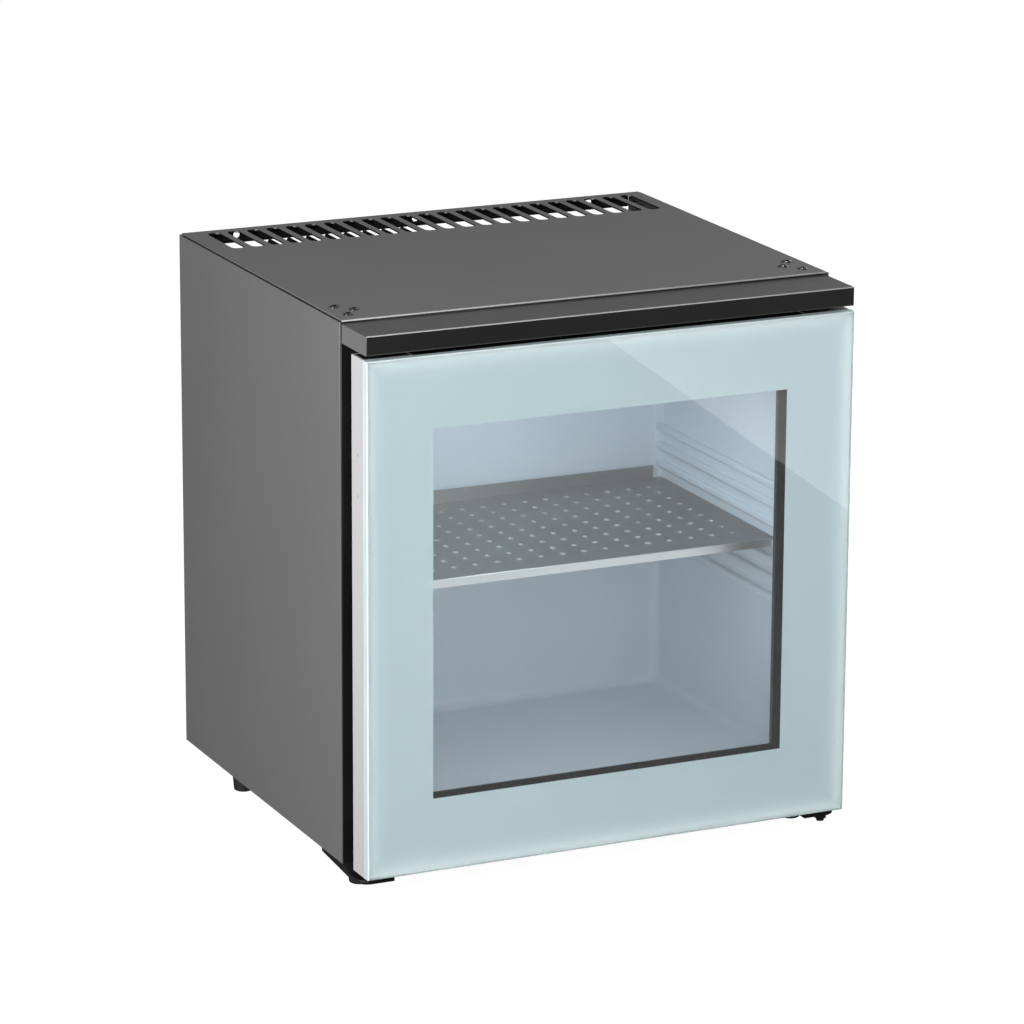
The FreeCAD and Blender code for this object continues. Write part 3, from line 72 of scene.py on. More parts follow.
def linear(colour):
    """A hex colour as it is seen on a screen, turned to the linear values that shaders use."""
    parts = [int(colour[place:place + 2], 16) / 255 for place in (1, 3, 5)]
    return [part / 12.92 if part <= 0.04045 else ((part + 0.055) / 1.055) ** 2.4 for part in parts] + [1.0]


def per(millimetres):
    """The texture scale whose features are about this size."""
    return 1 / (millimetres * MM)


def add(tree, kind, links=None, **settings):
    """Add a node with its settings, and link its inputs to other nodes' outputs."""
    made = tree.nodes.new(kind)
    for name, value in settings.items():
        if hasattr(made, name):
            setattr(made, name, value)
        else:
            made.inputs[name.replace("_", " ")].default_value = value
    for name, source in (links or {}).items():
        tree.links.new(source, made.inputs[name])
    return made


def new_finish(name, colour, **settings):
    """A material with one shader, and the place on the piece that its patterns read."""
    made = bpy.data.materials.new(name)
    made.use_nodes = True
    tree = made.node_tree
    shader = tree.nodes["Principled BSDF"]
    shader.inputs["Base Color"].default_value = linear(colour)
    for socket, value in settings.items():
        shader.inputs[socket.replace("_", " ")].default_value = value
    place = add(tree, "ShaderNodeTexCoord").outputs["Object"]
    return made, tree, shader, place


def roughen(tree, shader, place, grain, depth, spread, patch):
    """Give a surface its fine relief, and let its gloss drift from patch to patch."""
    relief = add(tree, "ShaderNodeTexNoise", {"Vector": place}, Scale=per(grain), Detail=3.0)
    bump = add(tree, "ShaderNodeBump", {"Height": relief.outputs["Fac"]}, Strength=1.0, Distance=depth * MM)
    drift = add(tree, "ShaderNodeTexNoise", {"Vector": place}, Scale=per(patch), Detail=2.0)
    gloss = add(tree, "ShaderNodeMapRange", {"Value": drift.outputs["Fac"]}, From_Min=0.3, From_Max=0.7,
                To_Min=spread[0], To_Max=spread[1])
    tree.links.new(bump.outputs["Normal"], shader.inputs["Normal"])
    tree.links.new(gloss.outputs["Result"], shader.inputs["Roughness"])


def tint(tree, shader, place, colours, patch):
    """Let the colour drift between two close tones."""
    drift = add(tree, "ShaderNodeTexNoise", {"Vector": place}, Scale=per(patch), Detail=3.0)
    step = add(tree, "ShaderNodeMapRange", {"Value": drift.outputs["Fac"]}, From_Min=0.3, From_Max=0.7)
    mix = add(tree, "ShaderNodeMixRGB", {"Fac": step.outputs["Result"]},
              Color1=linear(colours[0]), Color2=linear(colours[1]))
    tree.links.new(mix.outputs["Color"], shader.inputs["Base Color"])


def powder_coat(name, colours):
    """Polyester powder coat on steel: an even satin whose fine orange peel breaks up each highlight."""
    made, tree, shader, place = new_finish(name, colours[0], Specular_IOR_Level=0.4)
    tint(tree, shader, place, colours, patch=90)
    roughen(tree, shader, place, grain=1.6, depth=0.012, spread=(0.385, 0.405), patch=70)
    return made


def moulded_plastic(name, colours, spread, depth=0.015, **settings):
    """Injection-moulded ABS: a spark-eroded grain that dulls the sheen without hiding it."""
    made, tree, shader, place = new_finish(name, colours[0], **settings)
    tint(tree, shader, place, colours, patch=60)
    roughen(tree, shader, place, grain=0.9, depth=depth, spread=spread, patch=45)
    return made


def extruded_profile(name, colours):
    """PVC drawn through a die: a soft sheen with fine straight lines along its length."""
    made, tree, shader, place = new_finish(name, colours[0], Specular_IOR_Level=0.4)
    stretch = add(tree, "ShaderNodeMapping", {"Vector": place}, Scale=(per(1.1), per(1.1), per(400)))
    line = add(tree, "ShaderNodeTexNoise", {"Vector": stretch.outputs["Vector"]}, Scale=1.0, Detail=2.0)
    bump = add(tree, "ShaderNodeBump", {"Height": line.outputs["Fac"]}, Strength=0.5, Distance=0.02 * MM)
    gloss = add(tree, "ShaderNodeMapRange", {"Value": line.outputs["Fac"]}, To_Min=0.36, To_Max=0.48)
    mix = add(tree, "ShaderNodeMixRGB", {"Fac": line.outputs["Fac"]},
              Color1=linear(colours[0]), Color2=linear(colours[1]))
    tree.links.new(mix.outputs["Color"], shader.inputs["Base Color"])
    tree.links.new(gloss.outputs["Result"], shader.inputs["Roughness"])
    tree.links.new(bump.outputs["Normal"], shader.inputs["Normal"])
    return made


def vacuum_formed_liner():
    """White polystyrene drawn into a mould: soft gloss, and long shallow waves where the sheet stretched."""
    made, tree, shader, place = new_finish("vacuum_formed_polystyrene", "#d0e0ee", Specular_IOR_Level=0.5)
    tint(tree, shader, place, ("#d1e1ee", "#cddeec"), patch=120)
    roughen(tree, shader, place, grain=30.0, depth=0.02, spread=(0.31, 0.34), patch=80)
    return made


def float_glass(name, level):
    """Polished soda-lime float glass: clear, with a breath of haze too faint to name."""
    made, tree, shader, place = new_finish(name, "#fcfefe", Transmission_Weight=1.0, IOR=1.52,
                                           Specular_IOR_Level=level)
    film = add(tree, "ShaderNodeTexNoise", {"Vector": place}, Scale=per(55), Detail=2.0)
    gloss = add(tree, "ShaderNodeMapRange", {"Value": film.outputs["Fac"]}, To_Min=0.0, To_Max=0.004)
    tree.links.new(gloss.outputs["Result"], shader.inputs["Roughness"])
    return made


def ground_glass_edge(name, colours, spread):
    """The ground and polished rim of the pane, where light gathers pale and slightly green."""
    made, tree, shader, place = new_finish(name, colours[0], IOR=1.52, Coat_Weight=0.5)
    tint(tree, shader, place, colours, patch=35)
    roughen(tree, shader, place, grain=1.2, depth=0.006, spread=spread, patch=20)
    return made


# Width and fall-off of the painted glow along the enamel's rim.
RIM_GLOW_WIDTH = 26.0 * MM
RIM_GLOW_FALL = 3.5


def fired_enamel():
    """Ceramic enamel fired on the back of the pane: pale blue-grey, with a painted glow that makes it paler
    towards the pane's rim.
    """
    low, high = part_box("glass_enamel")
    made, tree, shader, place = new_finish("fired_enamel", "#b8ccd1", Specular_IOR_Level=0.3)
    centred = add(tree, "ShaderNodeMapping", {"Vector": place}, Location=(0, 0, -(low.z + high.z) / 2))
    axes = add(tree, "ShaderNodeSeparateXYZ", {"Vector": centred.outputs["Vector"]})
    rims = []
    for axis, half in (("X", high.x), ("Z", (high.z - low.z) / 2)):
        away = add(tree, "ShaderNodeMath", {0: axes.outputs[axis]}, operation="ABSOLUTE")
        rims.append(add(tree, "ShaderNodeMapRange", {"Value": away.outputs[0]}, From_Min=half - RIM_GLOW_WIDTH,
                        From_Max=half).outputs["Result"])
    near = add(tree, "ShaderNodeMath", {0: rims[0], 1: rims[1]}, operation="MAXIMUM")
    rim = add(tree, "ShaderNodeMath", {0: near.outputs[0]}, operation="POWER")
    rim.inputs[1].default_value = RIM_GLOW_FALL
    drift = add(tree, "ShaderNodeTexNoise", {"Vector": place}, Scale=per(140), Detail=2.0)
    body = add(tree, "ShaderNodeMixRGB", {"Fac": drift.outputs["Fac"]},
               Color1=linear("#bacdd2"), Color2=linear("#b6cad0"))
    # Painted glow: near the rim the enamel is mixed towards near-white, standing in for light gathering along
    # the pane's edge.
    mix = add(tree, "ShaderNodeMixRGB", {"Fac": rim.outputs[0], "Color1": body.outputs["Color"]},
              Color2=linear("#f1f9fa"))
    gloss = add(tree, "ShaderNodeMapRange", {"Value": drift.outputs["Fac"]}, To_Min=0.4, To_Max=0.5)
    tree.links.new(mix.outputs["Color"], shader.inputs["Base Color"])
    tree.links.new(gloss.outputs["Result"], shader.inputs["Roughness"])
    return made


def soft_seal():
    """Extruded soft PVC: dull black with a trace of bloom along its folds."""
    made, tree, shader, place = new_finish("soft_pvc_seal", "#101010", Specular_IOR_Level=0.35)
    tint(tree, shader, place, ("#0d0d0d", "#191919"), patch=25)
    roughen(tree, shader, place, grain=1.0, depth=0.03, spread=(0.5, 0.65), patch=18)
    return made


def brushed(name, colours, length, across, spread, depth=0.02):
    """Metal brushed along X: fine parallel scratches that draw each highlight out sideways."""
    made, tree, shader, place = new_finish(name, colours[0], Metallic=1.0, Anisotropic=0.4)
    stretch = add(tree, "ShaderNodeMapping", {"Vector": place}, Scale=(per(length), per(across), per(across)))
    line = add(tree, "ShaderNodeTexNoise", {"Vector": stretch.outputs["Vector"]}, Scale=1.0, Detail=3.0)
    bump = add(tree, "ShaderNodeBump", {"Height": line.outputs["Fac"]}, Strength=0.6, Distance=depth * MM)
    gloss = add(tree, "ShaderNodeMapRange", {"Value": line.outputs["Fac"]}, From_Min=0.3, From_Max=0.7,
                To_Min=spread[0], To_Max=spread[1])
    mix = add(tree, "ShaderNodeMixRGB", {"Fac": line.outputs["Fac"]},
              Color1=linear(colours[0]), Color2=linear(colours[1]))
    tree.links.new(mix.outputs["Color"], shader.inputs["Base Color"])
    tree.links.new(gloss.outputs["Result"], shader.inputs["Roughness"])
    tree.links.new(bump.outputs["Normal"], shader.inputs["Normal"])
    return made


def galvanised(name, colours):
    """Hot-dip galvanised sheet: flat zinc crystals a few millimetres wide, each at its own tone."""
    made, tree, shader, place = new_finish(name, colours[0], Metallic=0.85)
    crystal = add(tree, "ShaderNodeTexVoronoi", {"Vector": place}, Scale=per(4))
    tone = add(tree, "ShaderNodeSeparateColor", {"Color": crystal.outputs["Color"]})
    mix = add(tree, "ShaderNodeMixRGB", {"Fac": tone.outputs["Red"]},
              Color1=linear(colours[0]), Color2=linear(colours[1]))
    gloss = add(tree, "ShaderNodeMapRange", {"Value": tone.outputs["Green"]}, To_Min=0.38, To_Max=0.46)
    tree.links.new(mix.outputs["Color"], shader.inputs["Base Color"])
    tree.links.new(gloss.outputs["Result"], shader.inputs["Roughness"])
    return made


def tube_paint():
    """Black stove paint over drawn steel tube: thick, slightly lumpy and half glossy."""
    made, tree, shader, place = new_finish("stove_paint", "#1a1a1b", Specular_IOR_Level=0.5)
    tint(tree, shader, place, ("#161617", "#232325"), patch=30)
    roughen(tree, shader, place, grain=2.5, depth=0.05, spread=(0.3, 0.45), patch=22)
    return made


def rigid_foam():
    """Graphite-filled polyurethane foam: matt dark grey, with cells as coarse as they need to be to show."""
    made, tree, shader, place = new_finish("polyurethane_foam", "#2b2b2a")
    tint(tree, shader, place, ("#2e2e2d", "#242423"), patch=20)
    roughen(tree, shader, place, grain=1.0, depth=0.12, spread=(0.85, 0.95), patch=12)
    return made


def board_lacquer():
    """Green solder lacquer over copper tracks, which show as a slightly lighter pattern."""
    made, tree, shader, place = new_finish("solder_lacquer", "#1d5c34", Coat_Weight=0.3)
    track = add(tree, "ShaderNodeTexBrick", {"Vector": place}, Scale=per(16), Color1=linear("#1c5a33"),
                Color2=linear("#1a5430"), Mortar=linear("#2c7a48"))
    tree.links.new(track.outputs["Color"], shader.inputs["Base Color"])
    roughen(tree, shader, place, grain=1.5, depth=0.02, spread=(0.3, 0.4), patch=15)
    return made


def frosted_lens():
    """Opal acrylic: milky, passing light without showing what is behind."""
    made, tree, shader, place = new_finish("opal_acrylic", "#f6f6f2", Transmission_Weight=0.35, IOR=1.49)
    tint(tree, shader, place, ("#f8f8f4", "#efefea"), patch=30)
    roughen(tree, shader, place, grain=0.8, depth=0.03, spread=(0.4, 0.5), patch=20)
    return made


coat = powder_coat("anthracite_powder_coat", ("#646464", "#626262"))
# A darker copy of the cabinet's coat for the bar's top, underside and back: painted shade.
bar_coat_painted_shade = powder_coat("anthracite_coat_painted_shade", ("#454545", "#434343"))
# A lighter copy of the coat on the front edges of the top sheet and the bar: painted highlight.
painted_highlight_coat = powder_coat("powder_coat_painted_highlight", ("#a6a6a6", "#949494"))
# Black painted shade, put where only shade falls: the seam between top and side sheets, the inside of the
# top's rear fold and its cut edges.
painted_shade_black = powder_coat("black_painted_shade", ("#0d0d0d", "#111111"))
bar_front = moulded_plastic("satin_black_strip", ("#191919", "#1c1c1c"), spread=(0.32, 0.4),
                            Specular_IOR_Level=0.25)
black_abs = moulded_plastic("black_abs", ("#0e0e0e", "#131313"), spread=(0.38, 0.5))
matt_black = moulded_plastic("matt_black_abs", ("#0a0c0d", "#0d0f10"), spread=(0.8, 0.9),
                             Specular_IOR_Level=0.03)
bracket_coat = powder_coat("black_powder_coat", ("#121212", "#161616"))
white_profile = extruded_profile("white_extruded_pvc", ("#b2b2b2", "#adadad"))
liner_finish = vacuum_formed_liner()
glass = float_glass("float_glass", 0.4)
inner_pane_glass = float_glass("coated_float_glass", 0.12)
glass_edge = ground_glass_edge("polished_glass_edge", ("#c4d6da", "#b6cbd0"), (0.12, 0.22))
glass_arris = ground_glass_edge("ground_glass_arris", ("#cfdddf", "#c3d4d7"), (0.2, 0.3))
enamel = fired_enamel()
seal = soft_seal()
# The shelf wears a darker copy of the steel as painted shade, and its lip a lighter copy as painted
# highlight.
shelf_steel_painted_shade = brushed("satin_perforated_steel_painted_shade", ("#63686c", "#5d6266"), length=60, across=1.5,
                      spread=(0.3, 0.36), depth=0.003)
lip_steel_painted_highlight = brushed("steel_lip_painted_highlight", ("#abafb2", "#a2a6a9"), length=60, across=1.5, spread=(0.3, 0.36),
                    depth=0.003)
zinc_plate = brushed("zinc_plated_steel", ("#b9bbbd", "#a7a9ac"), length=6, across=0.7, spread=(0.25, 0.4))
black_zinc = brushed("black_zinc_steel", ("#6a6a6b", "#5a5a5b"), length=6, across=0.7, spread=(0.14, 0.2))
aluminium = brushed("mill_aluminium", ("#d3d6d8", "#c3c7ca"), length=30, across=0.9, spread=(0.3, 0.42))
heater_tube = brushed("drawn_steel", ("#8e8f91", "#7d7f82"), length=20, across=0.8, spread=(0.3, 0.45))
rear_sheet = galvanised("galvanised_sheet", ("#85888a", "#929598"))
jacket_sheet = galvanised("galvanised_jacket", ("#a8abad", "#b6b9bb"))
unit_paint = tube_paint()
foam = rigid_foam()
board = board_lacquer()
lens = frosted_lens()
foot_rubber = moulded_plastic("moulded_rubber", ("#131313", "#1a1a1a"), spread=(0.55, 0.7), depth=0.03)
knob_plastic = moulded_plastic("dark_grey_abs", ("#2a2b2c", "#303132"), spread=(0.35, 0.45))
pointer_paint = moulded_plastic("white_pointer_paint", ("#f2f2f0", "#e9e9e6"), spread=(0.4, 0.5))
magnet = moulded_plastic("ferrite_rubber", ("#2b2522", "#342c28"), spread=(0.6, 0.75))

WORN_BY = {
    coat: ["top_panel", "side_panel_left", "side_panel_right"],
    bar_coat_painted_shade: ["fascia_bar"],
    rear_sheet: ["rear_panel"],
    foam: ["insulation_foam", "evaporator_plug"],
    black_abs: ["front_frame", "control_box", "power_inlet", "top_rail", "bottom_rail", "stile_end_plugs"],
    matt_black: ["inner_frame", "spacer_frame"],
    bracket_coat: ["upper_hinge_bracket_left", "upper_hinge_bracket_right", "lower_hinge_bracket_left",
                   "lower_hinge_bracket_right", "base_plate"],
    zinc_plate: ["upper_hinge_pin", "fascia_bar_screws", "foot_screws", "cold_plate_screws", "coil_strap"],
    black_zinc: ["upper_bracket_screws", "lower_bracket_screws", "lower_hinge_pin", "lower_pin_nut"],
    foot_rubber: ["foot_front_left", "foot_front_right", "foot_rear_left", "foot_rear_right",
                  "rear_foot_washers"],
    shelf_steel_painted_shade: ["shelf"],
    lens: ["lamp_lens"],
    board: ["lamp_board", "control_board"],
    knob_plastic: ["thermostat_knob"],
    aluminium: ["cold_plate", "evaporator_plate"],
    unit_paint: ["condenser_tube", "condenser_fins", "evaporator_tube", "absorber_vessel", "absorber_coil",
                 "boiler_tube", "unit_saddles"],
    jacket_sheet: ["boiler_jacket"],
    heater_tube: ["heater_cartridge"],
    liner_finish: ["inner_liner", "lamp_housing"],
    glass: ["outer_glass"],
    inner_pane_glass: ["inner_glass"],
    enamel: ["glass_enamel"],
    white_profile: ["left_stile", "right_stile"],
    seal: ["gasket"],
    magnet: ["magnet_strips"],
}
for finish, wearers in WORN_BY.items():
    for wearer in wearers:
        nodes[wearer].data.materials.clear()
        nodes[wearer].data.materials.append(finish)


# Making pieces

SQUARE_TO_AXIS = 0.99999
SHARP_ANGLE = math.radians(35)
FLAT_ANGLE = math.radians(0.5)
SAME_PLACE = 0.001 * MM
NEAR = 0.1 * MM


def piece(shape, name, body, finishes, stands_for=(), smooth=40):
    """Turn a worked shape into a piece of the object that moves with a body."""
    mesh = bpy.data.meshes.new(name)
    shape.to_mesh(mesh)
    shape.free()
    mesh.shade_smooth()
    mesh.set_sharp_from_angle(angle=math.radians(smooth))
    for face in mesh.polygons:
        face.use_smooth = max(abs(part) for part in face.normal) < SQUARE_TO_AXIS
    for finish in finishes:
        mesh.materials.append(finish)
    made = bpy.data.objects.new(name, mesh)
    scene.collection.objects.link(made)
    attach(made, body)
    if stands_for:
        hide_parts(*stands_for)
    return made


def block(low, high):
    """A block between two corners, ready to be worked."""
    shape = bmesh.new()
    low, high = Vector(low), Vector(high)
    bmesh.ops.create_cube(shape, size=1.0)
    bmesh.ops.scale(shape, vec=high - low, verts=shape.verts)
    bmesh.ops.translate(shape, vec=(low + high) / 2, verts=shape.verts)
    return shape


def rounded(shape, edges, radius, segments=2):
    """Round some edges of a worked shape."""
    bmesh.ops.bevel(shape, geom=edges, offset=radius, segments=segments, profile=0.5, affect="EDGES",
                    material=-1, clamp_overlap=True)


def softened(node, name, radius, others=(), where=None):
    """A copy of a plain solid with its sharp edges broken, and other finishes on faces that a test picks."""
    shape = bmesh.new()
    shape.from_mesh(nodes[node].data)
    bmesh.ops.remove_doubles(shape, verts=shape.verts, dist=SAME_PLACE)
    bmesh.ops.dissolve_limit(shape, angle_limit=FLAT_ANGLE, verts=shape.verts, edges=shape.edges)
    sharp = [edge for edge in shape.edges if edge.is_manifold and edge.calc_face_angle() > SHARP_ANGLE]
    rounded(shape, sharp, radius * MM)
    finishes = [nodes[node].data.materials[0]]
    if others:
        finishes.extend(others)
        for face in shape.faces:
            face.material_index = where(face.normal, face.calc_center_median())
    return piece(shape, name, nodes[node]["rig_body"], finishes, [node])


def join(shape, other):
    """Add another worked shape to this one."""
    mesh = bpy.data.meshes.new("joined")
    other.to_mesh(mesh)
    other.free()
    shape.from_mesh(mesh)
    bpy.data.meshes.remove(mesh)


# Door

PANE_BEVEL = 0.8 * MM
PANE_RELIEF = 0.05 * MM
PANE_FLAT = 0.999
PANE_UPRIGHT = 0.001


def front_pane():
    """The front pane with its ground edges, a hair clear of the enamel behind it."""
    low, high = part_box("outer_glass")
    shape = block(low, (high.x, high.y - PANE_RELIEF, high.z))
    front = [edge for edge in shape.edges if all(abs(vert.co.y - low.y) < PANE_RELIEF for vert in edge.verts)]
    rounded(shape, front, PANE_BEVEL, segments=3)
    finishes = [glass, inner_pane_glass, glass_edge, glass_arris]
    for face in shape.faces:
        lean = face.normal.y
        if abs(lean) > PANE_FLAT:
            face.material_index = 0 if lean < 0 else 1
        else:
            face.material_index = 2 if abs(lean) < PANE_UPRIGHT else 3
    return piece(shape, "front_pane", "door", finishes, ["outer_glass"], smooth=20)


SEAL_WIDTH = 11.0 * MM
SEAL_FOLD = 2.6 * MM
SEAL_CROWN = 2.2 * MM
# Each step up from the seal's foot: its share of the depth, and how far the sides pinch in.
SEAL_FOLDS = ((0.22, 0.0), (0.06, 1.0), (0.16, 0.0), (0.06, -1.0), (0.5, 0.0))


def door_seal():
    """A folded seal: a foot against the door, a narrow bellows and a rounded magnet bulb."""
    low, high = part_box("gasket")
    shape = bmesh.new()
    middle = (low + high) / 2
    bmesh.ops.create_grid(shape, x_segments=1, y_segments=1, size=0.5,
                          matrix=Matrix.Rotation(math.radians(-90), 4, "X"))
    bmesh.ops.scale(shape, vec=(high.x - low.x, 1, high.z - low.z), verts=shape.verts)
    bmesh.ops.translate(shape, vec=(middle.x, low.y, middle.z), verts=shape.verts)
    inner = list(shape.faces)
    strip = bmesh.ops.inset_region(shape, faces=inner, thickness=SEAL_WIDTH, use_even_offset=True,
                                   use_boundary=True)["faces"]
    bmesh.ops.delete(shape, geom=inner, context="FACES")
    depth = high.y - low.y
    for step, (share, pinch) in enumerate(SEAL_FOLDS):
        grown = bmesh.ops.extrude_face_region(shape, geom=strip)["geom"]
        if step > 0:
            bmesh.ops.delete(shape, geom=strip, context="FACES")
        strip = [part for part in grown if isinstance(part, bmesh.types.BMFace)]
        moved = [part for part in grown if isinstance(part, bmesh.types.BMVert)]
        bmesh.ops.translate(shape, vec=(0, depth * share, 0), verts=moved)
        for vert in moved:
            across = vert.co - middle
            outside = abs(across.x) > (high.x - low.x) / 2 - SEAL_WIDTH / 2
            inward = -1 if outside else 1
            vert.co.x += math.copysign(SEAL_FOLD * pinch, across.x) * inward
            vert.co.z += math.copysign(SEAL_FOLD * pinch, across.z) * inward
    crown = [edge for edge in shape.edges
             if all(abs(vert.co.y - high.y) < NEAR for vert in edge.verts) and len(edge.link_faces) == 2
             and any(abs(face.normal.y) < 0.5 for face in edge.link_faces)]
    rounded(shape, crown, SEAL_CROWN, segments=4)
    bmesh.ops.recalc_face_normals(shape, faces=shape.faces)
    return piece(shape, "folded_door_seal", "door", [seal], ["gasket"], smooth=50)


# Interior

LINER_CORNER = 8.0 * MM
LINER_SHEET = 2.0 * MM
RUNNER_COUNT = 7
RUNNER_PITCH = 15.0 * MM
RUNNER_REACH = 4.0 * MM
RUNNER_HEIGHT = 6.0 * MM
RUNNER_SETBACK = 12.0 * MM
RUNNER_NOSE = 1.6 * MM
RUNNERS_BELOW_SHELF = 3
SHELF_LIP = 6.5 * MM
SHELF_SHEET = 1.2 * MM


def liner_tub():
    """The drawn tub with rounded corners, and its row of rounded shelf runners on both sides."""
    low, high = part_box("inner_liner")
    inset = Vector((LINER_SHEET, 0, LINER_SHEET))
    inner_low = low + inset
    inner_high = high - inset - Vector((0, LINER_SHEET, 0))
    shape = block(inner_low, inner_high)
    mouth = [face for face in shape.faces if face.normal.y < -0.5]
    bmesh.ops.delete(shape, geom=mouth, context="FACES")
    corners = [edge for edge in shape.edges if len(edge.link_faces) == 2]
    rounded(shape, corners, LINER_CORNER, segments=6)
    bmesh.ops.reverse_faces(shape, faces=shape.faces)
    bmesh.ops.solidify(shape, geom=shape.faces, thickness=LINER_SHEET)
    top = runner_top()
    for step in range(RUNNER_COUNT):
        level = top + RUNNER_PITCH * step
        for side in (-1, 1):
            wall = inner_high.x * side
            tip = wall - side * RUNNER_REACH
            span = sorted((wall + side * LINER_SHEET / 2, tip))
            bar = block((span[0], inner_low.y + RUNNER_SETBACK, level - RUNNER_HEIGHT),
                        (span[1], inner_high.y, level))
            nose = [edge for edge in bar.edges if all(abs(vert.co.x - tip) < NEAR for vert in edge.verts)]
            rounded(bar, nose, RUNNER_NOSE, segments=3)
            join(shape, bar)
    return piece(shape, "drawn_liner_tub", "cabinet", [liner_finish], ["inner_liner"], smooth=45)


def runner_top():
    """The top of the lowest runner, three runners under the one that carries the shelf."""
    lip_end = round(min(vert.co.z for vert in nodes["shelf"].data.vertices), 5)
    return lip_end + SHELF_LIP - SHELF_SHEET - RUNNERS_BELOW_SHELF * RUNNER_PITCH


# Fasteners

HEAD_SQUARES = 5
HEAD_DOME = 0.55
RECESS_DEPTH = 0.6


def cross_head(seat, axis, radius, height, shank_radius, reach):
    """A domed screw with a cross recess, its head on the seat and its shank along the axis."""
    shape = bmesh.new()
    bmesh.ops.create_grid(shape, x_segments=HEAD_SQUARES, y_segments=HEAD_SQUARES, size=radius)
    step = 2 * radius / HEAD_SQUARES
    cross = []
    for face in shape.faces:
        middle = face.calc_center_median()
        if sorted((round(abs(middle.x) / step), round(abs(middle.y) / step))) in ([0, 0], [0, 1]):
            cross.append(face)
    for vert in shape.verts:
        if vert.is_boundary:
            vert.co = vert.co.normalized() * radius
    for vert in shape.verts:
        vert.co.z = height * (1 - HEAD_DOME * (vert.co.length / radius) ** 2)
    sunk = bmesh.ops.extrude_face_region(shape, geom=cross)["geom"]
    bmesh.ops.delete(shape, geom=cross, context="FACES")
    bottom = [part for part in sunk if isinstance(part, bmesh.types.BMVert)]
    bmesh.ops.translate(shape, vec=(0, 0, -RECESS_DEPTH * height), verts=bottom)
    skirt = [edge for edge in shape.edges if edge.is_boundary]
    grown = bmesh.ops.extrude_edge_only(shape, edges=skirt)["geom"]
    for part in grown:
        if isinstance(part, bmesh.types.BMVert):
            part.co.z = 0
    bmesh.ops.edgeloop_fill(shape, edges=[edge for edge in shape.edges if edge.is_boundary])
    bmesh.ops.create_cone(shape, cap_ends=True, segments=16, radius1=shank_radius, radius2=shank_radius,
                          depth=reach, matrix=Matrix.Translation((0, 0, -reach / 2)))
    bmesh.ops.recalc_face_normals(shape, faces=shape.faces)
    turn = Vector((0, 0, -1)).rotation_difference(Vector(axis)).to_matrix().to_4x4()
    bmesh.ops.transform(shape, matrix=Matrix.Translation(seat) @ turn, verts=shape.verts)
    return shape


def solid_boxes(node):
    """The corners of each separate solid in a node, found by walking its joined faces."""
    shape = bmesh.new()
    shape.from_mesh(nodes[node].data)
    bmesh.ops.remove_doubles(shape, verts=shape.verts, dist=SAME_PLACE)
    left = set(shape.verts)
    boxes = []
    for start in shape.verts:
        if start not in left:
            continue
        left.discard(start)
        group = {start}
        waiting = [start]
        while waiting:
            vert = waiting.pop()
            for edge in vert.link_edges:
                other = edge.other_vert(vert)
                if other in left:
                    left.discard(other)
                    group.add(other)
                    waiting.append(other)
        places = [vert.co.copy() for vert in group]
        boxes.append((Vector(map(min, zip(*places))), Vector(map(max, zip(*places)))))
    shape.free()
    return boxes


SCREW_HEAD = 1.4 * MM
SCREW_RADIUS = 3.8 * MM
SCREW_SHANK = 2.0 * MM


def screws(node, name, axis):
    """Cross-head screws in place of a group of plain ones."""
    shape = bmesh.new()
    way = Vector(axis)
    for low, high in solid_boxes(node):
        middle = (low + high) / 2
        length = abs((high - low).dot(way))
        head = middle - way * (length / 2 - SCREW_HEAD)
        join(shape, cross_head(head, axis, SCREW_RADIUS, SCREW_HEAD, SCREW_SHANK, length - SCREW_HEAD))
    return piece(shape, name, "cabinet", [nodes[node].data.materials[0]], [node], smooth=30)


# Thermostat

KNOB_DEPTH = 12.0 * MM
KNOB_TAPER = 0.94
KNOB_EDGE = 0.6 * MM
KNOB_CORNER = 0.6
SPINDLE_RADIUS = 3.0 * MM
GRIP_HALF = 2.5 * MM
GRIP_SHARE = 0.92
GRIP_EDGE = 1.0 * MM
POINTER_HALF = 0.5 * MM
POINTER_PROUD = 0.02 * MM
POINTER_SUNK = 0.3 * MM
POINTER_SPAN = (0.3, 0.82)


def knob():
    """A round knob with a bar grip and a white pointer line."""
    low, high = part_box("thermostat_knob")
    middle = (low + high) / 2
    radius = (high.z - low.z) / 2
    base = low.y + KNOB_DEPTH
    lay = Matrix.Rotation(math.radians(-90), 4, "X")
    disc_place = Matrix.Translation((middle.x, base - KNOB_DEPTH / 4, middle.z))
    spindle_place = Matrix.Translation((middle.x, (high.y + base) / 2, middle.z))
    shape = bmesh.new()
    bmesh.ops.create_cone(shape, cap_ends=True, segments=48, radius1=radius, radius2=radius * KNOB_TAPER,
                          depth=KNOB_DEPTH / 2, matrix=disc_place @ lay.inverted())
    corners = [edge for edge in shape.edges if edge.calc_face_angle() > KNOB_CORNER]
    rounded(shape, corners, KNOB_EDGE)
    grip = block((middle.x - GRIP_HALF, low.y, middle.z - radius * GRIP_SHARE),
                 (middle.x + GRIP_HALF, base - KNOB_DEPTH / 3, middle.z + radius * GRIP_SHARE))
    rounded(grip, list(grip.edges), GRIP_EDGE, segments=3)
    join(shape, grip)
    bmesh.ops.create_cone(shape, cap_ends=True, segments=32, radius1=SPINDLE_RADIUS, radius2=SPINDLE_RADIUS,
                          depth=high.y - base, matrix=spindle_place @ lay)
    line = block((middle.x - POINTER_HALF, low.y - POINTER_PROUD, middle.z + radius * POINTER_SPAN[0]),
                 (middle.x + POINTER_HALF, low.y + POINTER_SUNK, middle.z + radius * POINTER_SPAN[1]))
    for face in line.faces:
        face.material_index = 1
    join(shape, line)
    return piece(shape, "thermostat_dial_knob", "knob", [knob_plastic, pointer_paint], ["thermostat_knob"])


# Cooling unit

JACKET_LIP = 2.0 * MM
BEAD_DEPTH = 0.8 * MM
BEAD_WIDTH = 3.0 * MM
BEAD_STARTS = (14.0 * MM, 23.0 * MM)


